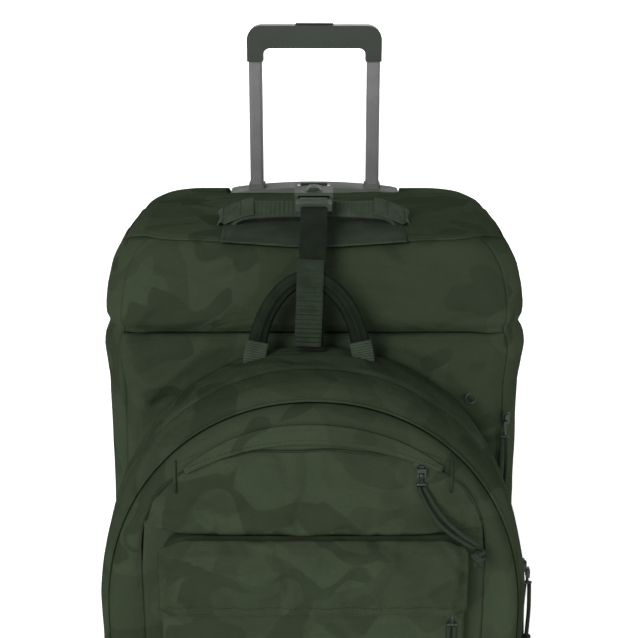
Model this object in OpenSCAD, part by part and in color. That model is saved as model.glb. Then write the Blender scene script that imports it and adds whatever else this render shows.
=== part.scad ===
// Upright rolling duffel bag with a telescopic handle and a detachable front daypack.
// Millimetres, +Z up, the front faces -Y, the origin is on the floor under the middle.

/* [Body] */
// Width of the fabric body
body_w = 380; // [376:1:384]
// Height of the top panel
body_top = 680; // [678:1:684]
// Distance of the front wall from the origin
body_front = 50; // [49:1:52]
// Distance of the back wall from the origin
body_back = 195; // [195:1:198]
// Thickness of the padded walls
wall = 4; // [3:0.5:4.5]
// Radius of the upright corners
corner_r = 40; // [38:1:42]
// Depth of the zipped front lid, from the front wall to its zip
lid_depth = 8; // [7:0.5:9]
// Height of the lid's fabric hinge
lid_low = 105; // [100:1:110]
// Height of the lid's top edge
lid_high = 595; // [590:1:598]

/* [Daypack] */
// Half width of the daypack
pack_half_w = 182; // [180:1:183]
// Height of the daypack's arched top
pack_top = 590; // [588:1:592]
// Height of the daypack's base
pack_low = 130; // [125:1:135]
// Distance of the daypack's front panel from the origin
pack_front_y = 165; // [163:1:166]
// Distance of the seam between the daypack's halves from the origin
pack_split_y = 120; // [115:1:125]
// Height at which the daypack's front half folds down
pack_fold_z = 190; // [186:1:195]
// Thickness of the daypack's padded wall
pack_wall = 3.5; // [3:0.5:4]
// Half width of the lower pocket
pocket_half_w = 122; // [118:1:122]

/* [Trolley handle] */
// Distance between the middles of the two tubes
tube_gap = 118; // [116:1:120]
// Height of the top of the grip
grip_top = 843; // [840:1:846]
// Travel of the upper tubes above their rest height
handle_up = 110; // [90:5:110]

/* [Wheels] */
// Outer diameter of the tyres
wheel_d = 76; // [74:1:76]
// Width of the tyres
wheel_w = 28; // [24:1:28]

/* [Hidden] */
$fn = 48;
big = 1000;
gap = 0.5;

fabric = "darkolivegreen";
fabric_dark = "darkslategray";
webbing = "darkgreen";
plastic = "dimgray";
metal = "silver";

// Body: base height, and levels as [height, side inset, front inset, back inset]
base_z = 36;
split_y = lid_depth - body_front;
body_levels = [
    [base_z, 16, 16, 16], [base_z + 4, 9, 9, 9], [base_z + 12, 3, 3, 3], [62, 0, 0, 0],
    [570, 0, 0, 0], [613, 4, 1, 0], [652, 10, 4, 0], [666, 17, 6, 1],
    [body_top - 5, 24, 9, 2], [body_top, 34, 14, 5]
];
panel_top_z = 652;
panel_low_z = 52;
side_x = 150;

// Wheels
wheel_x = 170;
wheel_y = 172;
wheel_z = wheel_d / 2;
axle_r = 4;
run_gap = 0.03;
hub_r = 31;
bearing_r = 11;
bearing_w = 7;
housing_w = 40;
housing_r = 46;
cavity_r = 42;
cavity_w = 33;
housing_back = 206;
housing_edge = 25;
housing_low = 12;
tray_t = 3;
tray_y = 90;
tray_z = 150;

// Screws through the feet and the housing flanges
screw_r = 2.5;
screw_hole_r = 2.6;
foot_x = 130;
foot_y = -10;
foot_screws = [[foot_x - 10, foot_y], [foot_x + 10, foot_y]];
flange_screws = [[130, 136], [130, 154]];
flange_t = 3.5;

// Trolley
tube_x = tube_gap / 2;
tube_y = 178;
tube_t = 1.2;
upper_size = [13.4, 18];
mid_size = [16.4, 21];
outer_size = [19.4, 24];
bezel_w = 172;
bezel_low = 655;
bezel_top = 682;
rod_r = 2.5;
grip_half_w = 67;
grip_low = grip_top - 35;
grip_bar_low = grip_top - 22;
socket_top = grip_bar_low + 3;
yoke_z = grip_top - 14;

// Buckle, tilted about X
buckle_at = [0, -4, 704];
buckle_tilt = 12;

// Daypack: levels as [distance forward of the origin, half width, half height of the arch]
arch_z = 385;
arch_h = pack_top - arch_z;
arch_power = 2 / 2.1;
pack_levels = [
    [body_front + gap, pack_half_w - 20, arch_h - 18], [56, pack_half_w - 9, arch_h - 7],
    [66, pack_half_w, arch_h], [140, pack_half_w - 0.5, arch_h - 1],
    [156, pack_half_w - 3, arch_h - 5], [pack_front_y, pack_half_w - 10, arch_h - 13]
];
back_panel_t = 6;
pocket_levels = [
    [pack_front_y, pack_half_w - 11, arch_h - 14], [177, pack_half_w - 12, arch_h - 16],
    [182, pack_half_w - 17, arch_h - 23]
];
pocket_face = 182;
pocket_z = pack_fold_z + 3;
zip_z = 329;
zip_r = 220;
zip_slot = 4;
zip_half_angle = 25;
welt_r = 227;
welt_half_angle = 27;
lower_low = 205;
lower_high = 475;
lower_front = 203;
flap_y = 207.2;
flap_t = 2.8;
flap_low = 412;
flap_high = 474;
lower_slot = [413, 423];

// Zip sliders and pulls
front_angle = 23;
pin_r = 0.9;
pin_bore_r = 0.98;
eye_r = 2.2;
main_pivot = [172.5, -48.2, 505];
pack_pivot = [187, -120, 397];
front_pivot = [zip_r * sin(front_angle), -187.2, zip_z + zip_r * cos(front_angle) - 8.5];
lower_pivot = [112, -205.5, 407.5];
cord_d = 3.6;
cord_sides = 8;
// Middle of one strand of a hanging pull cord, from the pull's pin; the other is its mirror image
hang_route = [
    [1.9, 0, -9], [2.2, 0, -14], [2.5, 0.2, -20], [2.8, 0.3, -27], [2.9, 0.4, -34],
    [2.8, 0.3, -41], [2.5, 0.2, -48], [2.2, 0, -55], [1.9, 0, -61]
];
hang_knot = [0, 0, -65];
// Middles of the two strands of the curved pull cord on the front pocket
curve_route_a = [
    [-1.9, 0, -9.8], [-1.1, -0.4, -13.3], [2, -3, -19.3], [6, -6.5, -26.2], [11, -10, -33.1],
    [17, -13, -39.1], [25, -15.5, -45.1], [33.5, -17, -50.3], [41.5, -18, -54.6]
];
curve_route_b = [
    [2.1, 0, -9.8], [4.2, -0.4, -13.5], [7.5, -3, -19], [11.5, -6.5, -24.8], [16.5, -10, -30.8],
    [22.5, -13, -36.6], [29.8, -15.5, -42.2], [37.5, -17.3, -47.2], [44.5, -18, -52]
];
curve_knot = [45, -18, -61.2];

// ---- Functions ----

function unit(v) = v / norm(v);

// Direction along a path at point i
function along(path, i) = unit(path[min(i + 1, len(path) - 1)] - path[max(i - 1, 0)]);

// Outline of a flat strip of thickness t that follows a plane path
function ribbon(path, t) = concat(
    [for (i = [0:len(path) - 1]) path[i] + [-along(path, i)[1], along(path, i)[0]] * t / 2],
    [for (i = [len(path) - 1:-1:0]) path[i] - [-along(path, i)[1], along(path, i)[0]] * t / 2]
);

// Outline of the daypack's arch: half width a, half height b, base at height low
function arch(a, b, low, r = 55, steps = 22) = concat(
    [for (i = [0:steps]) let (t = 180 * i / steps)
        [a * sign(cos(t)) * pow(abs(cos(t)), arch_power), arch_z + b * pow(sin(t), arch_power)]],
    [for (i = [0:6]) let (t = 180 + 15 * i) [-(a - r) + r * cos(t), low + r + r * sin(t)]],
    [for (i = [0:6]) let (t = 270 + 15 * i) [(a - r) + r * cos(t), low + r + r * sin(t)]]
);

// Ring of points across a tube at point i of its route
function ring(path, i, r, n) =
    let (d = along(path, i), u = unit(cross(d, [0, 1, 0])), v = cross(d, u))
    [for (k = [0:n - 1]) path[i] + r * (cos(360 * k / n) * u + sin(360 * k / n) * v)];

// ---- Shared shapes ----

module both() {
    children();
    mirror([1, 0, 0]) children();
}

module rrect(w, h, r) {
    square([w - 2 * r, h], center = true);
    square([w, h - 2 * r], center = true);
    for (x = [-1, 1], y = [-1, 1]) translate([x * (w / 2 - r), y * (h / 2 - r)]) circle(r);
}

// A plan outline extruded from z0 to z1
module rise(z0, z1) {
    translate([0, 0, z0]) linear_extrude(z1 - z0) children();
}

// An XZ outline extruded forward from y0 to y1, where y1 is the nearer to the front
module forward(y0, y1) {
    translate([0, y0, 0]) rotate([90, 0, 0]) linear_extrude(y0 - y1) children();
}

// A YZ outline extruded from x0 to x1
module across(x0, x1) {
    translate([x0, 0, 0]) rotate([90, 0, 90]) linear_extrude(x1 - x0) children();
}

// The part of the children between two corners
module keep(low, high) {
    intersection() {
        union() children();
        translate(low) cube(high - low);
    }
}

// A closed skin over a stack of rings with the same number of points
module skin(rings) {
    n = len(rings[0]);
    m = len(rings);
    polyhedron(
        points = [for (r = rings) for (p = r) p],
        faces = concat(
            [[for (k = [0:n - 1]) k]],
            [for (i = [0:m - 2]) for (k = [0:n - 1])
                [i * n + k, (i + 1) * n + k, (i + 1) * n + (k + 1) % n, i * n + (k + 1) % n]],
            [[for (k = [n - 1:-1:0]) (m - 1) * n + k]]
        )
    );
}

module tube_along(path, d) {
    skin([for (i = [0:len(path) - 1]) ring(path, i, d / 2, cord_sides)]);
}

// ---- Body ----

// Plan outline of the body at one of its levels, moved inward by inset
function body_ring(level, inset, steps = 8) =
    let (r = corner_r - inset,
         half_x = body_w / 2 - level[1] - inset - r,
         y0 = level[2] + inset - body_front + r,
         y1 = body_back - level[3] - inset - r,
         z = level[0] + (level[0] < 300 ? inset : level[0] > 640 ? -inset : 0))
    [for (corner = [0:3], i = [0:steps]) let (t = 90 * (corner + i / steps))
        [(corner == 0 || corner == 3 ? half_x : -half_x) + r * cos(t),
         (corner < 2 ? y1 : y0) + r * sin(t), z]];

// Outer form of the body, moved inward by inset
module body_form(inset) {
    skin([for (level = body_levels) body_ring(level, inset)]);
}

module housing_outline(grow) {
    intersection() {
        union() {
            translate([wheel_y, wheel_z]) circle(housing_r + grow, $fn = 64);
            translate([wheel_y - (housing_r + grow) * cos(housing_edge), housing_low])
                square([big, wheel_z - housing_low]);
        }
        translate([0, housing_low]) square([housing_back + grow, big]);
    }
}

// Room for the axles' nuts beside the wheel housings
module nut_holes() {
    both() translate([141, wheel_y, wheel_z]) rotate([0, 90, 0]) cylinder(r = 8.5, h = 9);
}

module screw_holes(points, r) {
    both() for (p = points) translate([p[0], p[1], -1]) cylinder(r = r, h = 60, $fn = 24);
}

// The padded shell before it is cut into panels
module body_shell() {
    difference() {
        body_form(0);
        body_form(wall);
        both() across(wheel_x - housing_w / 2 - gap, big) housing_outline(0.3);
        nut_holes();
        translate([-bezel_w / 2 - 0.3, tube_y - 15.3, bezel_low - 0.3]) cube([bezel_w + 0.6, 60, 60]);
    }
}

module side_panel(side) {
    color(fabric) keep([side > 0 ? side_x : -big, split_y, panel_low_z],
                       [side > 0 ? big : -side_x, big, panel_top_z])
        difference() {
            body_shell();
            translate([-big / 2, split_y - 1, lid_low]) cube([big, 1 + gap, lid_high - lid_low]);
        }
}

module top_panel() {
    color(fabric) keep([-big, split_y, panel_top_z], [big, big, big]) body_shell();
}

module bottom_panel() {
    color(fabric) difference() {
        union() {
            keep([-big, split_y, 0], [big, big, panel_low_z]) body_shell();
            keep([-big, -big, 0], [big, split_y, lid_low]) body_shell();
        }
        screw_holes(concat(foot_screws, flange_screws), screw_hole_r);
    }
}

module back_panel() {
    color(fabric) keep([-side_x, 100, panel_low_z], [side_x, big, panel_top_z]) body_shell();
}

module upper_front_panel() {
    color(fabric) keep([-big, -big, lid_high], [big, split_y, big]) body_shell();
}

module lid_panel() {
    color(fabric) difference() {
        keep([-big, -big, lid_low + gap], [big, split_y, lid_high - gap]) body_shell();
        translate([140, 0, 536]) rotate([90, 0, 0]) cylinder(r = 3.5, h = 100, $fn = 32);
    }
}

// Thin tapes inside the main opening, beside the teeth
module body_zip_tape() {
    color(fabric_dark) {
        both() rise(lid_low, 565) intersection() {
            translate([body_w / 2 - corner_r, corner_r - body_front]) difference() {
                circle(corner_r - wall - 0.5);
                circle(corner_r - wall - 1.5);
            }
            translate([body_w / 2 - corner_r, split_y + gap]) square([corner_r, 20]);
        }
        translate([-140, wall - body_front + 1.1, lid_high + 1]) cube([280, 1, 16]);
    }
}

module lid_zip_tape() {
    color(fabric_dark) forward(wall - body_front + 1.6, wall - body_front + 0.6) difference() {
        translate([0, (lid_low + lid_high) / 2]) rrect(300, lid_high - lid_low - 8, 6);
        translate([0, (lid_low + lid_high) / 2]) rrect(260, lid_high - lid_low - 48, 3);
        translate([140, 536]) circle(6);
    }
}

module eyelet() {
    color(metal) translate([140, 0, 536]) rotate([90, 0, 0]) difference() {
        union() {
            translate([0, 0, body_front - wall - 1]) cylinder(r = 5.5, h = 1);
            translate([0, 0, body_front - wall]) cylinder(r = 3.45, h = wall);
            translate([0, 0, body_front]) cylinder(r = 5.5, h = 0.4);
        }
        cylinder(r = 2.4, h = 100);
    }
}

module top_patch() {
    color(fabric_dark) rise(body_top, body_top + 1.5) translate([0, 22]) rrect(162, 112, 8);
}

module stiffeners() {
    color(plastic) {
        translate([-148, 160, 75]) cube([296, 2.5, 560]);
        difference() {
            translate([-146, -28, base_z + wall]) cube([292, 186, 3]);
            screw_holes(concat(foot_screws, flange_screws), screw_hole_r);
        }
    }
}

module packing_straps() {
    color(webbing) for (z = [230, 430]) translate([-146, 157.5, z]) cube([292, 2.2, 25]);
}

module grab_handle() {
    bar_low = body_top + 12;
    color(webbing) {
        forward(27, 2) difference() {
            translate([0, bar_low - 3]) rrect(150, 18, 6);
            translate([0, bar_low - 6]) square([112, 12], center = true);
            translate([0, body_top - 48.5]) square([200, 100], center = true);
        }
        both() translate([75, 3, body_top + 1.5]) cube([8, 23, 2]);
    }
}

// ---- Base and wheels ----

module base_tray() {
    color(plastic) difference() {
        keep([-big, tray_y, 0], [big, big, tray_z]) difference() {
            body_form(-tray_t);
            body_form(0);
        }
        both() across(wheel_x - housing_w / 2 - gap, big) housing_outline(0.3);
        nut_holes();
        screw_holes(flange_screws, screw_hole_r);
    }
}

module wheel_housings() {
    flange_z = base_z - tray_t - flange_t;
    color(plastic) both() difference() {
        union() {
            across(wheel_x - housing_w / 2, wheel_x + housing_w / 2) housing_outline(0);
            translate([wheel_x, wheel_y, wheel_z]) rotate([0, 90, 0]) cylinder(r = 12, h = 23.5);
            translate([118, 128, flange_z]) cube([32.5, 34, flange_t]);
        }
        across(wheel_x - cavity_w / 2, wheel_x + cavity_w / 2) {
            translate([wheel_y, wheel_z]) circle(cavity_r, $fn = 64);
            translate([wheel_y - cavity_r * cos(housing_edge), 0]) square([big, wheel_z]);
        }
        translate([100, wheel_y, wheel_z]) rotate([0, 90, 0]) cylinder(r = axle_r + 0.05, h = 100);
        for (p = flange_screws) translate([p[0], p[1], 0]) cylinder(r = screw_hole_r, h = 60, $fn = 24);
    }
}

module axles() {
    color(metal) both() translate([0, wheel_y, wheel_z]) rotate([0, 90, 0]) {
        translate([0, 0, 143]) cylinder(r = axle_r, h = 50.5);
        translate([0, 0, 193.5]) cylinder(r = 8, h = 2.5);
        translate([0, 0, 145]) difference() {
            cylinder(r = 7, h = 5, $fn = 6);
            translate([0, 0, -1]) cylinder(r = axle_r + 0.05, h = 7);
        }
    }
}

module at_wheel(side) {
    translate([side * wheel_x, wheel_y, wheel_z]) rotate([0, 90, 0]) children();
}

module tyre(side) {
    color("black") at_wheel(side) rotate_extrude($fn = 72) polygon([
        [hub_r, -wheel_w / 2 + 1], [wheel_z - 2.5, -wheel_w / 2], [wheel_z, -wheel_w / 2 + 4],
        [wheel_z, wheel_w / 2 - 4], [wheel_z - 2.5, wheel_w / 2], [hub_r, wheel_w / 2 - 1]
    ]);
}

module hub(side) {
    color(plastic) at_wheel(side) difference() {
        cylinder(r = hub_r, h = 24, center = true, $fn = 72);
        for (end = [-1, 1]) translate([0, 0, end * 8]) difference() {
            cylinder(r = hub_r - 4, h = 12, center = true, $fn = 72);
            cylinder(r = bearing_r + 4, h = 13, center = true);
        }
        cylinder(r = bearing_r + 0.02, h = 30, center = true);
        for (k = [0:5]) rotate([0, 0, 60 * k]) translate([21, 0, 0]) cylinder(r = 4, h = 30, center = true);
    }
}

module bearings(side) {
    color(metal) at_wheel(side) for (end = [-1, 1]) translate([0, 0, end * 8.5]) difference() {
        cylinder(r = bearing_r, h = bearing_w, center = true);
        cylinder(r = axle_r + run_gap, h = 10, center = true);
    }
}

module front_feet() {
    color(plastic) both() difference() {
        rise(0, base_z) translate([foot_x, foot_y]) rrect(56, 38, 8);
        for (p = foot_screws) translate([p[0], p[1], 0]) {
            translate([0, 0, -1]) cylinder(r = 5.5, h = 29);
            cylinder(r = screw_hole_r, h = 50, $fn = 24);
        }
    }
}

module screw(point, seat_z, length) {
    translate([point[0], point[1], seat_z]) {
        translate([0, 0, -3]) cylinder(r = 5, h = 3);
        cylinder(r = screw_r, h = length);
    }
}

module screws() {
    color(metal) both() {
        for (p = foot_screws) screw(p, 28, 17);
        for (p = flange_screws) screw(p, base_z - tray_t - flange_t, 16);
    }
}

// ---- Trolley handle ----

module tube_pair(size, t, z0, z1) {
    for (side = [-1, 1]) translate([side * tube_x, tube_y]) rise(z0, z1) difference() {
        rrect(size[0], size[1], 3);
        rrect(size[0] - 2 * t, size[1] - 2 * t, 2);
    }
}

module outer_tubes() {
    color(metal) tube_pair(outer_size, tube_t, 72, bezel_low);
}

module tube_foot() {
    color(plastic) rise(60, 72) translate([0, tube_y - 1]) rrect(150, 24, 6);
}

module trolley_bezel() {
    crown = bezel_top - 676;
    crown_r = (pow(bezel_w / 2, 2) + crown * crown) / (2 * crown);
    color(plastic) difference() {
        intersection() {
            rise(bezel_low, bezel_top) translate([0, tube_y + 1]) rrect(bezel_w, 32, 8);
            translate([0, big / 2, bezel_top - crown_r]) rotate([90, 0, 0])
                cylinder(r = crown_r, h = big, $fn = 200);
        }
        for (side = [-1, 1]) translate([side * tube_x, tube_y]) rise(bezel_low - 1, bezel_top + 1)
            rrect(mid_size[0] + 0.6, mid_size[1] + 0.6, 3);
    }
}

module mid_tubes() {
    color(metal) tube_pair(mid_size, tube_t, 254, 674);
}

module mid_collars() {
    color(plastic) for (side = [-1, 1]) translate([side * tube_x, tube_y]) rise(674, 684) difference() {
        rrect(mid_size[0], mid_size[1], 3);
        rrect(upper_size[0] + 0.6, upper_size[1] + 0.6, 3);
    }
}

module upper_tubes() {
    color(metal) tube_pair(upper_size, tube_t, 350, socket_top);
}

module grip() {
    arm_in = 2 * grip_half_w - 32;
    color(plastic) difference() {
        forward(tube_y + 11, tube_y - 11) difference() {
            union() {
                translate([0, grip_top - 14]) rrect(2 * grip_half_w, 28, 13.9);
                translate([-grip_half_w, grip_low]) square([2 * grip_half_w, 22]);
            }
            translate([0, grip_bar_low - 20]) rrect(arm_in, 40, 7);
        }
        for (side = [-1, 1]) translate([side * tube_x, tube_y]) {
            rise(grip_low - 1, socket_top) rrect(upper_size[0], upper_size[1], 3);
            rise(socket_top - 1, yoke_z + 6) circle(rod_r + 0.5);
        }
        translate([-tube_x, tube_y - 3.5, socket_top + 1]) cube([2 * tube_x, 7, 10]);
        translate([-19.2, tube_y - 6.3, socket_top + 6.5]) cube([38.4, 12.6, 20]);
        translate([0, tube_y, socket_top - 0.5]) cylinder(r = 5, h = 5);
    }
}

module release_button() {
    color(metal) rise(yoke_z + 5, grip_top + 2) translate([0, tube_y]) rrect(37.4, 12, 3);
}

module release_rods() {
    color(metal) {
        for (side = [-1, 1]) translate([side * tube_x, tube_y, 360]) cylinder(r = rod_r, h = yoke_z - 360);
        translate([-tube_x + 3, tube_y - 2.8, yoke_z]) cube([2 * tube_x - 6, 5.6, 5]);
        for (side = [-1, 1]) translate([side * tube_x, tube_y, yoke_z]) cylinder(r = rod_r + 0.3, h = 5);
    }
}

module button_spring() {
    turns = 3;
    steps = 10;
    rise_z = yoke_z - socket_top - 0.5 - 0.8;
    path = [for (i = [0:turns * steps]) let (t = 360 * i / steps)
        [3.6 * cos(t), tube_y + 3.6 * sin(t), socket_top - 0.1 + 0.4 + rise_z * i / (turns * steps)]];
    color(metal) tube_along(path, 0.8);
}

// ---- Buckle and webbing ----

module at_buckle() {
    translate(buckle_at) rotate([buckle_tilt, 0, 0]) children();
}

module buckle_socket() {
    color(plastic) at_buckle() difference() {
        union() {
            across(-17, 17) polygon([[0, -4], [22, -4], [22, 5], [18, 7.4], [3, 7.4], [0, 6.4]]);
            both() translate([13.2, 20, -2]) cube([3.8, 11, 6]);
            translate([-15, 27, 1]) rotate([0, 90, 0]) cylinder(r = 2, h = 30);
        }
        translate([-14, -1, -1.8]) cube([28, 18, 7.4]);
    }
}

module buckle_tongue() {
    color(plastic) at_buckle() {
        difference() {
            translate([-16, -14, -3]) cube([32, 13.5, 7]);
            translate([-12.5, -11, -4]) cube([25, 4.5, 9]);
        }
        both() translate([8, -0.5, -1.5]) cube([5, 15, 2.2]);
    }
}

module buckle_anchor() {
    strap_path = [[30.3, -1.2], [38, -8], [46, -18], [54, -27.5]];
    color(webbing) at_buckle() across(-12.4, 12.4) difference() {
        union() {
            translate([27, 1]) circle(4.4);
            polygon(ribbon(strap_path, 3));
        }
        translate([27, 1]) circle(2.05);
    }
}

module tether_strap() {
    strap_path = [[-17.8, 701.6], [-30, 700], [-44, 696], [-57, 689], [-70, 680], [-79, 670],
                  [-81.6, 660], [-81.8, 640]];
    tail_path = [[-68, 682], [-80, 674], [-87.5, 667], [-89.5, 650], [-90, 630], [-90, 600]];
    color(webbing) {
        across(-11, 11) polygon(ribbon(strap_path, 2.8));
        across(-15, 8) polygon(ribbon(tail_path, 2.8));
    }
}

module haul_loop() {
    band = [for (i = [0:24]) let (t = 180 * i / 24)
        [45.5 * cos(t) * (1 - 0.2 * sin(t)) - 4, 584 + 72 * pow(sin(t), 0.8)]];
    color(webbing) difference() {
        forward(-83.5, -86.5) polygon(ribbon(band, 17));
        pack_form(pack_levels, -0.1, pack_low);
    }
}

// ---- Daypack ----

module pack_form(levels, inset, low) {
    hull() for (level = levels) {
        y = -level[0] + (level == levels[0] ? -inset : level == levels[len(levels) - 1] ? inset : 0);
        forward(y, y - 0.05) polygon(arch(level[1] - inset, level[2] - inset, low + inset));
    }
}

module pack_shell() {
    difference() {
        pack_form(pack_levels, 0, pack_low);
        pack_form(pack_levels, pack_wall, pack_low);
    }
}

module pack_back_panel() {
    color(fabric_dark) keep([-big, -body_front - gap - back_panel_t, 0], [big, 0, big])
        pack_form(pack_levels, 0, pack_low);
}

module pack_rear_shell() {
    color(fabric) {
        keep([-big, -pack_split_y, 0], [big, -body_front - gap - back_panel_t, big]) pack_shell();
        keep([-big, -big, 0], [big, -pack_split_y, pack_fold_z - 0.2]) pack_shell();
    }
}

module shoulder_straps() {
    path = [[40, 520], [62, 470], [76, 400], [78, 330], [70, 260]];
    color(fabric_dark) both() forward(-body_front - gap - back_panel_t, -64.5) polygon(ribbon(path, 58));
}

module pack_front_shell() {
    color(fabric) keep([-big, -big, pack_fold_z + 0.2], [big, -pack_split_y - 0.4, big]) pack_shell();
}

// The sector of half angle a about the zip arc's centre
module zip_sector(a) {
    translate([0, zip_z]) polygon([[0, 0], 400 * [sin(a), cos(a)], 400 * [-sin(a), cos(a)]]);
}

module front_pocket() {
    color(fabric) difference() {
        keep([-big, -big, pocket_z], [big, -pack_front_y - 0.15, big]) difference() {
            pack_form(pocket_levels, 0, pack_fold_z - 20);
            pack_form([for (l = pocket_levels) [l[0] - 4, l[1] - 4, l[2] - 4]], 0, pack_fold_z);
        }
        forward(-pocket_face + 5, -pocket_face - 1) intersection() {
            zip_sector(zip_half_angle);
            difference() {
                translate([0, zip_z]) circle(zip_r + zip_slot, $fn = 180);
                translate([0, zip_z]) circle(zip_r - zip_slot, $fn = 180);
            }
        }
    }
}

module pocket_welt() {
    last = pocket_levels[len(pocket_levels) - 1];
    color(fabric) forward(-pocket_face - 0.1, -pocket_face - 2) intersection() {
        polygon(arch(last[1] - 1, last[2] - 1, pack_fold_z));
        zip_sector(welt_half_angle);
        difference() {
            square(2 * big, center = true);
            translate([0, zip_z]) circle(welt_r, $fn = 180);
        }
    }
}

module lower_pocket() {
    middle = (lower_low + lower_high) / 2;
    height = lower_high - lower_low;
    color(fabric) difference() {
        translate([0, 0, middle]) forward(-pocket_face - 0.1, -lower_front)
            rrect(2 * pocket_half_w, height, 30);
        translate([0, 0, middle]) forward(-pocket_face, -lower_front + 3)
            rrect(2 * pocket_half_w - 6, height - 6, 27);
        translate([-116, -lower_front - 1, lower_slot[0]]) cube([232, 10, lower_slot[1] - lower_slot[0]]);
    }
}

module lower_flap() {
    color(fabric) forward(-flap_y, -flap_y - flap_t) intersection() {
        translate([0, lower_high - 101]) rrect(2 * pocket_half_w, 200, 30);
        translate([-big / 2, flap_low]) square([big, flap_high - flap_low]);
    }
}

// ---- Zip sliders and pulls ----

// A slider's plate on the cloth, whose outward direction is -Y, and its raised crown
module slider_plate() {
    forward(0, -1.4) rrect(8, 12, 2);
    forward(-1.4, -3) rrect(5, 9, 2);
}

// Two ears and a pin at a pull's pivot, with the pin along X
module bail(bridge = 5) {
    both() translate([2.3, -1.6, -1.6]) cube([1.2, 3.2, bridge + 1.6]);
    translate([-3.5, -1.6, 2.6]) cube([7, 3.2, bridge - 2.6]);
    translate([-3.4, 0, 0]) rotate([0, 90, 0]) cylinder(r = pin_r, h = 6.8, $fn = 24);
}

// The metal eye on the pin and the short tab below it, with the knot that ties the strands
module pull(knot, turn = 0, tail = 6) {
    color(metal) difference() {
        union() {
            rotate([0, 0, turn]) translate([-2, 0, 0]) rotate([0, 90, 0]) cylinder(r = eye_r, h = 4);
            translate([0, 0, -5.5]) rotate([90, 0, 0]) rise(-1.2, 1.2) rrect(3.6, 7, 1.5);
            translate([0, 0, -7.5]) rotate([90, 0, 0]) rise(-1.5, 1.5) rrect(8, 3, 1.4);
        }
        rotate([0, 0, turn]) translate([-5, 0, 0]) rotate([0, 90, 0]) cylinder(r = pin_bore_r, h = 10, $fn = 24);
    }
    color(webbing) translate(knot) {
        rise(-5, 4) rrect(9.2, 5.6, 2.7);
        for (x = [-1.9, 1.9]) translate([x, 0, -5 - tail]) cylinder(r = 1.6, h = tail, $fn = 16);
    }
}

module hanging_cord() {
    color(webbing) both() tube_along(hang_route, cord_d);
}

module main_slider() {
    color(metal) translate(main_pivot) {
        rotate([0, 0, 90]) bail(8);
        translate([0.6, 3.1, 8.8]) rotate([0, 0, 30]) slider_plate();
    }
}

module pack_slider() {
    color(metal) {
        translate(pack_pivot) rotate([0, 0, 90]) bail(6);
        translate([pack_half_w + 0.5, pack_pivot[1], pack_pivot[2] + 9]) rotate([0, 0, 90]) slider_plate();
        translate([pack_half_w + 2, pack_pivot[1] - 1.6, pack_pivot[2] + 3.6]) cube([4, 3.2, 3]);
    }
}

module front_slider() {
    color(metal) {
        translate([zip_r * sin(front_angle), -pocket_face - 0.4, zip_z + zip_r * cos(front_angle)])
            rotate([0, front_angle - 90, 0]) slider_plate();
        translate(front_pivot) bail(6);
        translate([front_pivot[0] - 2, -187, front_pivot[2] + 3]) cube([4, 4.2, 5]);
    }
}

module lower_slider() {
    color(metal) {
        translate([lower_pivot[0], -lower_front - 0.4, 418]) rotate([0, 90, 0])
            forward(0, -2.6) rrect(8, 10, 2);
        translate(lower_pivot) bail(5);
        translate(lower_pivot + [-2, -0.4, 2.8]) cube([4, 2, 5]);
    }
}

side_panel(-1);  // left_side_panel
side_panel(1);  // right_side_panel
top_panel();
bottom_panel();
back_panel();
upper_front_panel();
body_zip_tape();
top_patch();
trolley_bezel();
outer_tubes();
tube_foot();
stiffeners();
packing_straps();
base_tray();
wheel_housings();
axles();
front_feet();
screws();
buckle_socket();
buckle_anchor();
grab_handle();
mid_tubes();
mid_collars();
grip();
upper_tubes();
release_button();
release_rods();
button_spring();
tyre(-1);  // tyre_left
hub(-1);  // hub_left
bearings(-1);  // bearings_left
tyre(1);  // tyre_right
hub(1);  // hub_right
bearings(1);  // bearings_right
lid_panel();
lid_zip_tape();
eyelet();
pack_back_panel();
pack_rear_shell();
shoulder_straps();
haul_loop();
tether_strap();
buckle_tongue();
pack_front_shell();
front_pocket();
pocket_welt();
lower_pocket();
lower_flap();
main_slider();
pack_slider();
front_slider();
lower_slider();
translate(main_pivot) pull(hang_knot + [0, -1, 0], 90);  // main_pull
translate(pack_pivot) pull(hang_knot, 90);  // pack_pull
translate(front_pivot) pull(curve_knot, 0, 3);  // front_pull
translate(lower_pivot) pull(hang_knot + [0, -0.6, 0]);  // lower_pull
translate(main_pivot) hanging_cord();  // main_cord
translate(pack_pivot) hanging_cord();  // pack_cord
translate(front_pivot) color(webbing) {  // front_cord
    tube_along(curve_route_a, cord_d);
    tube_along(curve_route_b, cord_d);
}
translate(lower_pivot) hanging_cord();  // lower_cord
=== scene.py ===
"""Rolling duffel bag with a front daypack: its looks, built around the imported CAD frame.

Shapes are written in millimetres, in the frame's own axes, and scaled once when a mesh is made.
"""

import math

import bpy
import numpy as np
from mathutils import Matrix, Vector


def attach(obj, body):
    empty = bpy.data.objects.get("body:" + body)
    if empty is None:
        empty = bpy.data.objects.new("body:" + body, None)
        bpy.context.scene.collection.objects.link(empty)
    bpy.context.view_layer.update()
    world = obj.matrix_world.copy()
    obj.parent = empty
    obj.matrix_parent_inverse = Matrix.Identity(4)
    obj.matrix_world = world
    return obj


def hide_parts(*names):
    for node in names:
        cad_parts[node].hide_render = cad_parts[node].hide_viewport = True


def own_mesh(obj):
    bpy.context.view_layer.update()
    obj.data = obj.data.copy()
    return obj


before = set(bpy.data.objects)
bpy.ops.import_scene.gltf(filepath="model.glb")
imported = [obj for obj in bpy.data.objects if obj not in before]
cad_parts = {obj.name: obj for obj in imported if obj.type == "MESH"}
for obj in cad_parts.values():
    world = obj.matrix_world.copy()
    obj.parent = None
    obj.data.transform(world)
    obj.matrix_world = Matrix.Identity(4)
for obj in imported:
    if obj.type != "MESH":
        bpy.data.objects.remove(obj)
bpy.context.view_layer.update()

MM = 0.001
SIDES = ((-1, "left"), (1, "right"))
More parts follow.
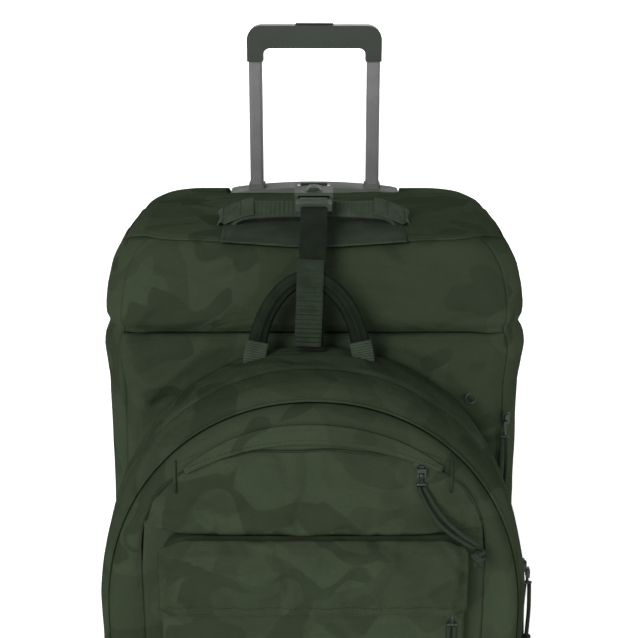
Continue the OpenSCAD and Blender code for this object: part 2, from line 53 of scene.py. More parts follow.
scene = bpy.context.scene


# ---- Camera ----


CAMERA_AT = (0.0046, -1.097, 0.945)
CAMERA_DOWN = 17.7745


def add_camera():
    """The camera in front and a little above, looking CAMERA_DOWN degrees below level."""
    data = bpy.data.cameras.new("camera")
    data.sensor_width = 36.0
    data.lens = 70.76
    camera = bpy.data.objects.new("camera", data)
    camera.location = CAMERA_AT
    camera.rotation_euler = (math.radians(90 - CAMERA_DOWN), 0, 0)
    scene.collection.objects.link(camera)
    scene.camera = camera


add_camera()


# ---- Numbers ----


def ease(a, b, x):
    """0 below a, 1 above b, and a smooth step between them (a may be the larger)."""
    t = np.clip((np.asarray(x, float) - a) / (b - a), 0, 1)
    return t * t * (3 - 2 * t)


def noise(p, size, seed=0):
    """Smooth noise from -1 to 1 at points (..., 3) in mm, with features of that size."""
    q = np.asarray(p, float) / size + 100.0
    cell = np.floor(q).astype(np.int64)
    f = q - cell
    f = f * f * f * (f * (f * 6 - 15) + 10)
    total = np.zeros(q.shape[:-1])
    for corner in range(8):
        step = np.array([corner & 1, (corner >> 1) & 1, (corner >> 2) & 1])
        c = cell + step
        h = c[..., 0] * 73856093 ^ c[..., 1] * 19349663 ^ c[..., 2] * 83492791 ^ (seed * 2971 + 17)
        h = (h ^ (h >> 13)) * 1274126177 & 0x7FFFFFFF
        h = (h ^ (h >> 15)) % 10007
        weight = np.prod(np.where(step == 1, f, 1 - f), axis=-1)
        total += weight * (h / 5003.0 - 1)
    return total


def run_along(path):
    """Distance along a path at each of its points."""
    return np.concatenate([[0], np.cumsum(np.linalg.norm(np.diff(path, axis=0), axis=1))])


def resample(path, count):
    """A path of points, evenly spaced along its length."""
    path = np.asarray(path, float)
    run = run_along(path)
    at = np.linspace(0, run[-1], count)
    return np.stack([np.interp(at, run, path[:, k]) for k in range(path.shape[1])], 1)


def spline(points, count):
    """A smooth path through the points, evenly spaced."""
    points = np.asarray(points, float)
    padded = np.vstack([2 * points[0] - points[1], points, 2 * points[-1] - points[-2]])
    out = []
    for i in range(1, len(padded) - 2):
        a, b, c, d = padded[i - 1:i + 3]
        t = np.linspace(0, 1, 24, endpoint=False)[:, None]
        out.append(0.5 * (2 * b + (c - a) * t + (2 * a - 5 * b + 4 * c - d) * t ** 2
                          + (3 * b - a - 3 * c + d) * t ** 3))
    out.append(points[-1:])
    return resample(np.vstack(out), count)


def upright(line, y):
    """Points (x, z) of an outline, stood up at the depth y."""
    return np.stack([line[:, 0], np.full(len(line), y), line[:, 1]], 1)


def spread(x, y, z):
    """Points (..., 3) from coordinates that fit each other's shapes."""
    return np.stack(np.broadcast_arrays(x, y, z), -1)


def matched(side, count):
    """One direction, or a row of them stretched to that many."""
    side = np.atleast_2d(np.asarray(side, float))
    return side[np.linspace(0, len(side) - 1, count).round().astype(int)]


# ---- Meshes ----


def new_mesh(verts, faces, uvs=None):
    mesh = bpy.data.meshes.new("shape")
    mesh.from_pydata((np.asarray(verts) * MM).tolist(), [], [list(f) for f in faces])
    if uvs is not None:
        layer = mesh.uv_layers.new(name="UVMap")
        layer.data.foreach_set("uv", np.asarray(uvs, np.float32).ravel())
    mesh.polygons.foreach_set("use_smooth", [True] * len(mesh.polygons))
    mesh.update()
    return mesh


def grid_mesh(points, closed=False, away=None):
    """A sheet from points (rows, columns, 3); its faces look away from the point away."""
    points = np.asarray(points, float)
    rows, cols = points.shape[:2]
    ring = np.concatenate([points, points[:, :1]], 1) if closed else points
    across = np.linalg.norm(np.diff(ring, axis=1), axis=2).mean(0)
    along = np.linalg.norm(np.diff(points, axis=0), axis=2).mean(1)
    u = np.concatenate([[0], np.cumsum(across)]) * MM
    v = np.concatenate([[0], np.cumsum(along)]) * MM
    r, c = np.meshgrid(np.arange(rows - 1), np.arange(cols if closed else cols - 1), indexing="ij")
    r, c = r.ravel(), c.ravel()
    corner_r = np.stack([r, r, r + 1, r + 1], 1)
    corner_c = np.stack([c, c + 1, c + 1, c], 1)
    flat = points.reshape(-1, 3)
    faces = corner_r * cols + corner_c % cols
    if away is not None:
        quad = flat[faces]
        normal = np.cross(quad[:, 2] - quad[:, 0], quad[:, 3] - quad[:, 1])
        if (normal * (quad.mean(1) - np.asarray(away, float))).sum() < 0:
            faces, corner_r, corner_c = faces[:, ::-1], corner_r[:, ::-1], corner_c[:, ::-1]
    return new_mesh(flat, faces.tolist(), np.stack([u[corner_c], v[corner_r]], -1))


def sweep_mesh(path, profile, side=(1, 0, 0), closed_path=False):
    """A solid band or cord: profile points (a, b) lie along side and along the path's normal.

    profile may be (points, 2), or (path points, points, 2) where it changes along the way.
    """
    path = np.asarray(path, float)
    profile = np.asarray(profile, float)
    if profile.ndim == 2:
        profile = np.repeat(profile[None], len(path), 0)
    if closed_path:
        tangent = np.roll(path, -1, 0) - np.roll(path, 1, 0)
    else:
        tangent = np.gradient(path, axis=0)
    tangent /= np.linalg.norm(tangent, axis=1)[:, None]
    side = matched(side, len(path))
    side = side - tangent * (side * tangent).sum(1)[:, None]
    side = side / np.linalg.norm(side, axis=1)[:, None]
    normal = np.cross(side, tangent)
    points = path[:, None] + profile[..., :1] * side[:, None] + profile[..., 1:] * normal[:, None]
    rows, cols = points.shape[:2]
    run = run_along(path) * MM
    u = run_along(np.vstack([profile[0], profile[0][:1]])) * MM
    faces = []
    uvs = []
    for r in range(rows if closed_path else rows - 1):
        nxt = (r + 1) % rows
        v0 = run[r]
        v1 = run[r + 1] if r + 1 < rows else run[-1] + (run[1] - run[0])
        for c in range(cols):
            d = (c + 1) % cols
            faces.append((r * cols + c, r * cols + d, nxt * cols + d, nxt * cols + c))
            uvs += [(u[c], v0), (u[c + 1], v0), (u[c + 1], v1), (u[c], v1)]
    if not closed_path:
        faces.append(tuple(range(cols))[::-1])
        uvs += [tuple(point) for point in profile[0][::-1] * MM]
        faces.append(tuple((rows - 1) * cols + c for c in range(cols)))
        uvs += [tuple(point) for point in profile[-1] * MM]
    mesh = new_mesh(points.reshape(-1, 3), faces, uvs)
    mesh.validate()
    return mesh


def circle_profile(radius, sides=12):
    t = np.arange(sides) * 2 * math.pi / sides
    return np.stack([radius * np.cos(t), radius * np.sin(t)], 1)


def strap_profile(width, thick, across_side=True, sides=5):
    """A band's section with rounded edges. Its width lies along side, or along the normal."""
    r = thick / 2
    t = np.linspace(-math.pi / 2, math.pi / 2, sides)
    right = np.stack([width / 2 - r + r * np.cos(t), r * np.sin(t)], 1)
    left = -right
    ring = np.vstack([right, np.linspace(width / 2 - r, r - width / 2, 8)[1:-1, None] * [1, 0] + [0, r],
                      left, np.linspace(r - width / 2, width / 2 - r, 8)[1:-1, None] * [1, 0] - [0, r]])
    return ring if across_side else ring[:, ::-1] * [1, -1]


def lathe_mesh(profile, centre, sides):
    """A closed ring turned about the X axis through centre, from (distance along, radius)."""
    profile = np.asarray(profile, float)
    t = np.arange(sides) * 2 * math.pi / sides
    along = np.repeat(profile[None, :, 0], sides, 0)
    radius = np.repeat(profile[None, :, 1], sides, 0)
    pts = np.stack([along, radius * np.cos(t)[:, None], radius * np.sin(t)[:, None]], -1)
    pts = pts + np.asarray(centre, float)
    rows, cols = pts.shape[:2]
    faces = []
    for r in range(rows):
        for c in range(cols):
            d = (c + 1) % cols
            q = (r + 1) % rows
            faces.append((r * cols + c, q * cols + c, q * cols + d, r * cols + d))
    return new_mesh(pts.reshape(-1, 3), faces)


def joined(meshes):
    """One mesh from several, with their UVs kept."""
    verts = []
    faces = []
    uvs = []
    for mesh in meshes:
        base = len(verts)
        verts += [tuple(v.co / MM) for v in mesh.vertices]
        layer = mesh.uv_layers.active
        for poly in mesh.polygons:
            faces.append(tuple(base + i for i in poly.vertices))
            if layer:
                uvs += [tuple(layer.data[i].uv) for i in poly.loop_indices]
            else:
                uvs += [(0.0, 0.0)] * poly.loop_total
        bpy.data.meshes.remove(mesh)
    return new_mesh(verts, faces, uvs)


def moved(mesh, offset):
    """The mesh, shifted by offset mm."""
    for v in mesh.vertices:
        for axis in range(3):
            v.co[axis] += offset[axis] * MM
    return mesh


def stitches(path, side, pitch=3.4, length=2.3, width=0.8, height=0.5):
    """A row of separate stitches along a path; side is the direction across the row on the cloth."""
    count = max(2, int(run_along(path)[-1] / pitch))
    line = resample(path, count * 2 + 1)
    middle = line[1::2]
    tangent = line[2::2] - line[:-1:2]
    tangent /= np.linalg.norm(tangent, axis=1)[:, None]
    side = matched(side, len(middle))
    side = side - tangent * (side * tangent).sum(1)[:, None]
    side /= np.linalg.norm(side, axis=1)[:, None]
    up = np.cross(tangent, side)
    verts = []
    faces = []
    for m, t, s, n in zip(middle, tangent, side, up):
        base = len(verts)
        for end, w, h in ((-1, 0.3, 0.2), (-0.6, 1, 0.9), (0, 1, 1.1), (0.6, 1, 0.9), (1, 0.3, 0.2)):
            centre = m + t * end * length / 2
            for a, b in ((1, 0), (0, 1), (-1, 0), (0, -1)):
                verts.append(centre + s * a * w * width / 2 + n * b * h * height)
        for k in range(4):
            for j in range(4):
                i = base + 4 * k
                faces.append((i + j, i + (j + 1) % 4, i + 4 + (j + 1) % 4, i + 4 + j))
        faces.append((base + 3, base + 2, base + 1, base))
        faces.append((base + 16, base + 17, base + 18, base + 19))
    return new_mesh(verts, faces)


def coil_mesh(path, side, radius=1.7, pitch=2.0):
    """A zip's coil: a fine bead of teeth along the path."""
    count = int(run_along(path)[-1] / pitch) * 4
    line = resample(path, count + 1)
    wave = 1 + 0.28 * np.cos(np.arange(count + 1) * math.pi / 2)
    ring = circle_profile(radius, 8)
    profile = ring[None] * wave[:, None, None] * [1.35, 0.8]
    return sweep_mesh(line, profile, side)


# ---- Materials ----


class Paint:
    """A Principled material and short ways to add nodes to it."""

    def __init__(self, name, color, roughness, **inputs):
        self.material = bpy.data.materials.new(name)
        self.material.use_nodes = True
        self.tree = self.material.node_tree
        self.shader = self.tree.nodes["Principled BSDF"]
        self.shader.inputs["Base Color"].default_value = (*color, 1)
        self.shader.inputs["Roughness"].default_value = roughness
        for key, value in inputs.items():
            self.shader.inputs[key.replace("_", " ")].default_value = value
        self.material.diffuse_color = (*color, 1)

    def node(self, kind, inputs=None, **settings):
        made = self.tree.nodes.new("ShaderNode" + kind)
        for key, value in settings.items():
            setattr(made, key, value)
        for key, value in (inputs or {}).items():
            self.feed(made.inputs[key], value)
        return made

    def feed(self, socket, value):
        """Links an output to the socket, or sets the socket's own value."""
        if isinstance(value, bpy.types.NodeSocket):
            self.tree.links.new(value, socket)
        else:
            socket.default_value = value

    def place(self, kind="Object", scale=(1, 1, 1), offset=(0, 0, 0)):
        coords = self.node("TexCoord")
        mapping = self.node("Mapping", {"Vector": coords.outputs[kind], "Scale": scale, "Location": offset})
        return mapping.outputs[0]

    def noise(self, vector, scale, detail=2.0, rough=0.5, distort=0.0):
        made = self.node("TexNoise", {"Vector": vector, "Scale": scale, "Detail": detail,
                                      "Roughness": rough, "Distortion": distort})
        return made.outputs["Fac"]

    def wave(self, vector, scale, direction):
        made = self.node("TexWave", {"Vector": vector, "Scale": scale, "Distortion": 0.0},
                         bands_direction=direction)
        return made.outputs["Fac"]

    def math(self, operation, a, b):
        return self.node("Math", {0: a, 1: b}, operation=operation).outputs[0]

    def weave(self, vector, scale):
        flat = self.math("ADD", self.wave(vector, scale, "X"), self.wave(vector, scale, "Z"))
        return self.math("ADD", flat, self.wave(vector, scale, "Y"))

    def span(self, value, low, high, out_low=0.0, out_high=1.0):
        made = self.node("MapRange", {"Value": value, "From Min": low, "From Max": high,
                                      "To Min": out_low, "To Max": out_high},
                         interpolation_type="SMOOTHSTEP")
        return made.outputs[0]

    def mix(self, factor, a, b):
        """A blend of two colours, each an output or a plain (r, g, b)."""
        a, b = ((*c, 1) if isinstance(c, tuple) else c for c in (a, b))
        return self.node("Mix", {0: factor, 6: a, 7: b}, data_type="RGBA").outputs[2]

    def color(self, socket):
        self.tree.links.new(socket, self.shader.inputs["Base Color"])

    def roughness(self, socket):
        self.tree.links.new(socket, self.shader.inputs["Roughness"])

    def bump(self, *layers):
        """Layers of (height socket, distance in metres), laid on each other."""
        normal = None
        for height, distance in layers:
            inputs = {"Height": height, "Distance": distance, "Strength": 1.0}
            if normal is not None:
                inputs["Normal"] = normal
            normal = self.node("Bump", inputs).outputs[0]
        self.tree.links.new(normal, self.shader.inputs["Normal"])


def shade(color, factor):
    """The colour made darker or lighter."""
    return tuple(min(1, c * factor) for c in color)


def camo_paint(name, base, light, dark, offset=(0, 0, 0)):
    """Woven polyester printed with a tonal camouflage in three close greens."""
    paint = Paint(name, base, 0.85, Specular_IOR_Level=0.0)
    at = paint.place(offset=offset)
    first = paint.noise(at, 14, 1.5, 0.42, 0.9)
    far = tuple(o + d for o, d in zip(offset, (3.1, 1.7, 5.3)))
    second = paint.noise(paint.place(offset=far, scale=(1, 1, 1.15)), 17, 1.4, 0.4, 0.9)
    tone = paint.mix(paint.span(first, 0.49, 0.515), base, light)
    tone = paint.mix(paint.span(second, 0.555, 0.58), tone, dark)
    grain = paint.noise(at, 1400, 1.0)
    cloud = paint.noise(at, 22, 2.0)
    fade = paint.math("ADD", paint.span(grain, 0.25, 0.75, 0.90, 1.06),
                      paint.span(cloud, 0.3, 0.7, -0.035, 0.035))
    paint.color(paint.node("VectorMath", {0: tone, 3: fade}, operation="SCALE").outputs[0])
    paint.roughness(paint.span(grain, 0.2, 0.8, 0.76, 0.9))
    slack = paint.noise(at, 60, 3.0, 0.55)
    folds = paint.noise(paint.place(offset=offset, scale=(1, 1, 1.8)), 15, 2.0, 0.45, 0.8)
    paint.bump((folds, 0.006), (slack, 0.0009), (paint.weave(at, 330), 0.00009))
    return paint.material


def plain_cloth(name, color, weave=330, depth=0.0001, rough=0.86):
    """A plain dyed fabric: its threads, uneven dye and small slubs."""
    paint = Paint(name, color, rough, Specular_IOR_Level=0.0)
    at = paint.place()
    cloud = paint.noise(at, 45, 3.0)
    paint.color(paint.mix(paint.span(cloud, 0.3, 0.7), shade(color, 0.86), shade(color, 1.13)))
    paint.bump((paint.weave(at, weave), depth), (paint.noise(at, 900, 2.0), 0.00012))
    return paint.material


def webbing_paint(name, color, rib=0.0011):
    """Woven strap: fine crosswise ribs and lengthwise threads, from the strap's own UVs, with painted shade
    in the grooves between the ribs.
    """
    paint = Paint(name, color, 0.75, Specular_IOR_Level=0.06)
    at = paint.place("UV")
    cross = paint.wave(at, math.pi / 10 / rib, "Y")
    warp = paint.wave(at, math.pi / 10 / 0.0014, "X")
    cloud = paint.noise(paint.place(), 70, 3.0)
    worn = paint.mix(paint.span(cloud, 0.3, 0.7), shade(color, 0.84), shade(color, 1.16))
    # Towards half the colour in the low troughs of the ribs: painted shade in the grooves between them.
    paint.color(paint.mix(paint.span(cross, 0.0, 0.5, 0.35, 0.0), worn, shade(color, 0.5)))
    paint.bump((cross, 0.00022), (warp, 0.00012))
    return paint.material


def cord_paint(name, color):
    """Braided cord: two crossing spirals of strands, with painted shade between the strands and painted
    highlight on their crowns.
    """
    paint = Paint(name, color, 0.8, Specular_IOR_Level=0.12)
    coords = paint.node("TexCoord").outputs["UV"]
    strands = []
    for turn in (32, -32):
        at = paint.node("Mapping", {"Vector": coords, "Rotation": (0, 0, math.radians(turn))})
        strands.append(paint.wave(at.outputs[0], 260, "Y"))
    braid = paint.math("MULTIPLY", *strands)
    fuzz = paint.noise(paint.place(), 700, 2.0)
    # Darker where the braid dips and lighter where the strands rise: painted shade between the strands and
    # painted highlight on their crowns.
    tone = paint.mix(paint.span(braid, 0.05, 0.6), shade(color, 0.55), shade(color, 1.25))
    paint.color(paint.mix(paint.span(fuzz, 0.35, 0.65, 0.0, 0.3), tone, color))
    paint.bump((braid, 0.0003), (fuzz, 0.0001))
    return paint.material


def plastic_paint(name, color, rough=0.5, grain=900, depth=0.00008, spec=0.45):
    """Moulded plastic with a fine spark-eroded texture and slight polish on worn places."""
    paint = Paint(name, color, rough, Specular_IOR_Level=spec)
    at = paint.place()
    fine = paint.noise(at, grain, 2.0, 0.6)
    broad = paint.noise(at, 28, 3.0)
    paint.color(paint.mix(paint.span(broad, 0.3, 0.72), shade(color, 0.9), shade(color, 1.12)))
    paint.roughness(paint.span(broad, 0.3, 0.75, rough + 0.07, rough - 0.09))
    paint.bump((fine, depth))
    return paint.material


def metal_paint(name, color, rough=0.38, metallic=0.9, stretch=(1, 1, 0.03), depth=0.00002):
    """Metal drawn along one axis: fine lines, uneven polish, faint handling marks."""
    paint = Paint(name, color, rough, Metallic=metallic)
    drawn = paint.noise(paint.place(scale=stretch), 1500, 2.0, 0.6)
    marks = paint.noise(paint.place(), 35, 4.0, 0.6)
    paint.color(paint.mix(paint.span(marks, 0.35, 0.7), shade(color, 0.92), shade(color, 1.08)))
    paint.roughness(paint.math("ADD", paint.span(drawn, 0.2, 0.8, rough - 0.06, rough + 0.06),
                               paint.span(marks, 0.4, 0.75, 0.0, 0.06)))
    paint.bump((drawn, depth))
    return paint.material


def rubber_paint(name, color):
    paint = Paint(name, color, 0.78, Specular_IOR_Level=0.3)
    at = paint.place()
    dust = paint.noise(at, 60, 4.0, 0.6)
    paint.color(paint.mix(paint.span(dust, 0.45, 0.75), color, tuple(c * 1.9 + 0.004 for c in color)))
    paint.bump((paint.noise(at, 1100, 2.0), 0.00012))
    return paint.material


CAMO_BASE = (0.0315, 0.0427, 0.0250)
CAMO_LIGHT = (0.0365, 0.0490, 0.0290)
CAMO_DARK = (0.0265, 0.0365, 0.0215)

camo = camo_paint("camo_fabric", CAMO_BASE, CAMO_LIGHT, CAMO_DARK)
camo_pack = camo_paint("camo_fabric_daypack", CAMO_BASE, CAMO_LIGHT, CAMO_DARK, (7.3, 2.2, 4.9))
camo_pocket = camo_paint("camo_fabric_pockets", CAMO_BASE, CAMO_LIGHT, CAMO_DARK, (1.9, 8.4, 6.6))
# The patch's own colour, lightened by about a third to offset the grab handle's shadow on it: partly
# painted light.
lit_patch_cloth = plain_cloth("patch_fabric", (0.035, 0.047, 0.032), weave=220, depth=0.00018)
dark_cloth = plain_cloth("dark_fabric", (0.014, 0.020, 0.013))
lining = plain_cloth("lining_fabric", (0.05, 0.056, 0.05), weave=420, depth=0.00006, rough=0.7)
tape_cloth = plain_cloth("zip_tape_fabric", (0.014, 0.02, 0.013), weave=260, depth=0.00015)
piping_cloth = plain_cloth("piping_fabric", (0.022, 0.031, 0.019), weave=300)
mesh_cloth = plain_cloth("padded_mesh_fabric", (0.03, 0.038, 0.03), weave=150, depth=0.0004)
thread = plain_cloth("stitch_thread", (0.034, 0.046, 0.029), weave=600, depth=0.00004)
webbing = webbing_paint("webbing_strap", (0.023, 0.033, 0.021))
webbing_light = webbing_paint("webbing_handle", (0.042, 0.057, 0.038))
webbing_smooth = webbing_paint("webbing_flat", (0.012, 0.018, 0.011), rib=0.0007)
cord_weave = cord_paint("braided_cord", (0.026, 0.036, 0.024))
coil_plastic = plastic_paint("zip_coil", (0.014, 0.019, 0.013), 0.4)
green_plastic = plastic_paint("green_moulding", (0.021, 0.029, 0.020), 0.5, spec=0.35)
buckle_plastic = plastic_paint("buckle_moulding", (0.038, 0.052, 0.036), 0.42, spec=0.4)
bezel_plastic = plastic_paint("bezel_moulding", (0.090, 0.105, 0.090), 0.6, spec=0.06)
black_plastic = plastic_paint("black_moulding", (0.012, 0.014, 0.012), 0.55, 700, 0.00014)
board_plastic = plastic_paint("board_sheet", (0.03, 0.03, 0.03), 0.6)
button_plastic = plastic_paint("button_moulding", (0.014, 0.018, 0.014), 0.38, spec=0.35)
tube_metal = metal_paint("anodised_tube", (0.145, 0.148, 0.145), 0.5, 0.35)
inner_metal = metal_paint("inner_tube", (0.36, 0.37, 0.36), 0.42, 0.8)
steel = metal_paint("plated_steel", (0.45, 0.46, 0.46), 0.3, 1.0, (1, 1, 1))
slider_metal = metal_paint("painted_zip_metal", (0.030, 0.038, 0.030), 0.4, 0.5, (1, 1, 1))
tyre_rubber = rubber_paint("tyre_rubber", (0.014, 0.014, 0.014))


# ---- Placing pieces ----


def thicken(obj, thick):
    """Makes a sheet solid by thick mm towards its inside."""
    solid = obj.modifiers.new("thickness", "SOLIDIFY")
    solid.thickness = thick * MM
    solid.offset = -1
    return solid


def piece(name, mesh, paint, body, replaces=(), thick=0.0, inner=None):
    """A new object that rides on a body; inner is the material of a thick sheet's inside."""
    mesh.name = name
    obj = bpy.data.objects.new(name, mesh)
    scene.collection.objects.link(obj)
    mesh.materials.append(paint)
    if thick:
        solid = thicken(obj, thick)
        if inner is not None:
            mesh.materials.append(inner)
            solid.material_offset = 1
    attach(obj, body)
    if replaces:
        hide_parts(*replaces)
    return obj


def finish_node(node, paint, bevel=0.0, segments=2):
    """A carried-over CAD node gets its material and softened edges."""
    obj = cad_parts[node]
    if obj.material_slots:
        for material_slot in obj.material_slots:
            material_slot.link = "OBJECT"
            material_slot.material = paint
    else:
        obj.data.materials.append(paint)
    if bevel:
        edge = obj.modifiers.new("edges", "BEVEL")
        edge.width = bevel * MM
        edge.segments = segments
        edge.limit_method = "ANGLE"
        edge.angle_limit = math.radians(35)
        edge.use_clamp_overlap = True
        normal = obj.modifiers.new("normals", "WEIGHTED_NORMAL")
        normal.keep_sharp = True


# ---- Pull cords ----

HANG = np.array([
    [1.9, 0, -9], [2.2, 0, -14], [2.5, 0.2, -20], [2.8, 0.3, -27], [2.9, 0.4, -34],
    [2.8, 0.3, -41], [2.5, 0.2, -48], [2.2, 0, -55], [1.9, 0, -61]])
CURVE_A = np.array([
    [-1.9, 0, -9.8], [-1.1, -0.4, -13.3], [2, -3, -19.3], [6, -6.5, -26.2], [11, -10, -33.1],
    [17, -13, -39.1], [25, -15.5, -45.1], [33.5, -17, -50.3], [41.5, -18, -54.6]])
CURVE_B = np.array([
    [2.1, 0, -9.8], [4.2, -0.4, -13.5], [7.5, -3, -19], [11.5, -6.5, -24.8], [16.5, -10, -30.8],
    [22.5, -13, -36.6], [29.8, -15.5, -42.2], [37.5, -17.3, -47.2], [44.5, -18, -52]])
STRAIGHT = (HANG * [-1, 1, 1], HANG)
CORD_D = 3.6

# The slider's pin, the two strands and the knot measured from it, whether the tab faces
# sideways, and the length of the knot's tails.
PULLS = {
    "main": ([172.5, -48.2, 505], STRAIGHT, [0, -1, -65], True, 6),
    "pack": ([187, -120, 397], STRAIGHT, [0, 0, -65], True, 6),
    "front": ([85.96, -187.2, 523.0], (CURVE_A, CURVE_B), [45, -18, -61.2], False, 3),
    "lower": ([112, -205.5, 407.5], STRAIGHT, [0, -0.6, -65], False, 6),
}


def knot_mesh(centre, tail):
    """An overhand knot: two wraps of cord round the strands, then two frayed ends."""
    parts = []
    for turn, (height, lean, size) in enumerate(((1.9, 0.30, 4.4), (-1.6, -0.34, 4.2))):
        t = np.linspace(0, 2 * math.pi, 33)[:-1]
        ring = np.stack([size * 0.95 * np.cos(t), size * 0.62 * np.sin(t),
                         height + size * lean * np.cos(t + 0.6 * turn)], 1)
        parts.append(sweep_mesh(ring, circle_profile(1.9, 10), (0, 0, 1), closed_path=True))
    cross = spline([[-3.6, -2.2, 3.2], [-1.2, -3.3, 1.4], [1.4, -3.3, -1.2], [3.6, -2.0, -3.4]], 14)
    parts.append(sweep_mesh(cross, circle_profile(1.8, 10), (0, 1, 0)))
    core = np.stack([np.zeros(9), np.zeros(9), np.linspace(4, -5, 9)], 1)
    parts.append(sweep_mesh(core, circle_profile(3.0, 12), (1, 0, 0)))
    for sign in (-1, 1):
        line = spline([[sign * 1.6, 0, -3], [sign * 2.0, -0.2, -5 - tail * 0.6],
                       [sign * 2.6, -0.3, -6 - tail]], 10)
        parts.append(sweep_mesh(line, circle_profile(1.5, 10), (0, 1, 0)))
        for k in range(9):
            angle = k * 2.4 + sign
            wide = 0.5 + 0.9 * ((k * 0.618) % 1)
            fall = -2.6 - 1.5 * ((k * 0.37) % 1)
            c, n = math.cos(angle), math.sin(angle)
            start = np.array([sign * 2.6 + 0.8 * c, -0.3 + 0.8 * n, -5.2 - tail])
            fibre = np.linspace(start, start + [wide * c, wide * 0.7 * n, fall], 4)
            parts.append(sweep_mesh(fibre, circle_profile(0.22, 5), (0, 1, 0)))
    return moved(joined(parts), centre)


def tab_mesh(pivot, turned):
    """The metal pull: an eye on the slider's pin, a waisted tab, and a bar that the cord is threaded on."""
    t = np.linspace(0, 2 * math.pi, 25)[:-1]
    eye = np.stack([np.zeros(24), 1.55 * np.cos(t), 1.55 * np.sin(t)], 1)
    if turned:
        eye = eye[:, [1, 0, 2]]
    parts = [sweep_mesh(eye, circle_profile(0.62, 8) * [2.6, 1],
                        (0, 1, 0) if turned else (1, 0, 0), closed_path=True)]
    line = np.stack([np.zeros(12), np.zeros(12), np.linspace(-1.9, -7.2, 12)], 1)
    width = np.interp(line[:, 2], [-7.2, -4.6, -1.9], [3.9, 2.5, 3.3])
    section = strap_profile(2.0, 2.2)
    profile = section[None] * np.stack([width / 2, np.full(12, 1.0)], 1)[:, None]
    parts.append(sweep_mesh(line, profile, (1, 0, 0)))
    bar = np.stack([np.linspace(-4.2, 4.2, 9), np.zeros(9), np.full(9, -7.8)], 1)
    size = np.interp(bar[:, 0], [-4.2, -3.4, 3.4, 4.2], [0.9, 1.45, 1.45, 0.9])
    parts.append(sweep_mesh(bar, circle_profile(1.0, 10)[None] * size[:, None, None], (0, 1, 0)))
    return moved(joined(parts), pivot)


def add_pull(key):
    pivot, strands, knot_at, turned, tail = PULLS[key]
    body = key + "_puller"
    pivot = np.array(pivot, float)
    pull = [key + "_pull"]
    piece(key + "_pull_tab", tab_mesh(pivot, turned), slider_metal, body, pull)
    mesh = knot_mesh(pivot + knot_at, tail)
    knot = piece(key + "_cord_knot", mesh, cord_weave, body, pull)
    for side, route in zip("ab", strands):
        path = spline(route + pivot, 25)
        mesh = sweep_mesh(path, circle_profile(CORD_D / 2, 14), (0, 1, 0))
        strand = piece(key + "_cord_" + side, mesh, cord_weave, body, [key + "_cord"])


for pull_key in PULLS:
    add_pull(pull_key)


# ---- Body form ----

# Height, then how far the sides, the front and the back stand inside the full size there.
LEVELS = np.array([
    [30, 18, 18, 18], [36, 16, 16, 16], [40, 9, 9, 9], [48, 3, 3, 3], [62, 0, 0, 0], [150, 0, 0, 0],
    [300, 2.5, 0, 0], [545, 4, 0, 0], [560, 2, 0, 0], [576, 0, 0, 0], [588, 1.5, 0, 0], [596, 5, 0.5, 0],
    [606, 4, 1, 0], [630, 5, 2, 0], [652, 10, 4, 0], [666, 17, 6, 1], [675, 24, 9, 2], [680, 34, 14, 5],
    [684, 44, 20, 9]], float)
CORNER = 40.0
HALF_WIDE, FRONT_Y, BACK_Y = 190, -50, 195
# Places round the body: where the flat front, side and back end, and where the lid's zip runs.
FRONT_END, SIDE_START, SIDE_END, BACK_START = 0.254, 0.3603, 0.6397, 0.746
SPLIT = 0.2976
Z_FINE = np.arange(30, 685, 0.5)


def smooth_levels():
    """The insets of LEVELS at every Z_FINE height, with the steps between them smoothed."""
    kernel = np.exp(-0.5 * (np.arange(-12, 13) / 5.0) ** 2)
    kernel /= kernel.sum()
    out = []
    for k in (1, 2, 3):
        raw = np.interp(Z_FINE, LEVELS[:, 0], LEVELS[:, k])
        padded = np.concatenate([np.full(12, raw[0]), raw, np.full(12, raw[-1])])
        out.append(np.convolve(padded, kernel, "valid"))
    return out


SIDE_IN, FRONT_IN, BACK_IN = smooth_levels()


def body_face(s, z, grow=0.0):
    """Plan point and normal on the body: s is 0 at the middle of the front and 1 or -1 at the back."""
    s, z = np.broadcast_arrays(np.asarray(s, float), np.asarray(z, float))
    sign = np.where(s < 0, -1.0, 1.0)
    a = np.abs(s)
    half_x = HALF_WIDE - np.interp(z, Z_FINE, SIDE_IN) - CORNER
    front_y = FRONT_Y + np.interp(z, Z_FINE, FRONT_IN) + CORNER
    back_y = BACK_Y - np.interp(z, Z_FINE, BACK_IN) - CORNER
    r = CORNER + grow
    one = np.clip((a - FRONT_END) / (SIDE_START - FRONT_END), 0, 1) * math.pi / 2
    two = np.clip((a - SIDE_END) / (BACK_START - SIDE_END), 0, 1) * math.pi / 2
    turn = one + two
    nx = np.sin(turn)
    ny = -np.cos(turn)
    cx = np.where(a < FRONT_END, half_x * a / FRONT_END,
                  np.where(a > BACK_START, half_x * (1 - a) / (1 - BACK_START), half_x))
    run = np.clip((a - SIDE_START) / (SIDE_END - SIDE_START), 0, 1)
    cy = front_y + (back_y - front_y) * run
    return sign * (cx + r * nx), cy + r * ny, sign * nx, ny


def strap_hollow(x, y):
    """How far the tether strap presses the top's front edge down."""
    return 7.0 * np.exp(-(x / 78) ** 2) * np.exp(-((y + 50) / 42) ** 2)


def top_sag(x, y, z):
    """How far the top lies below its full height, at the strap and towards the back."""
    return (strap_hollow(x, y) + 5.0 * ease(70, 165, y)) * ease(640, 676, z)


def body_points(s, z, swell=0.0, grow=0.0, ripple=1.0, seed=1):
    """Points on the body with its soft swell and ripples; arrays of s, z and swell in mm."""
    x, y, nx, ny = body_face(s, z, grow)
    flat = np.stack([x, y, np.broadcast_to(z, x.shape)], -1)
    bend = 1.3 * noise(flat, 75, seed) + 0.7 * noise(flat, 30, seed + 1) + 0.25 * noise(flat, 12, seed + 2)
    push = np.asarray(swell) + ripple * bend
    out = flat + np.stack([nx * push, ny * push, np.zeros_like(x)], -1)
    out[..., 2] -= top_sag(out[..., 0], out[..., 1], out[..., 2])
    return out


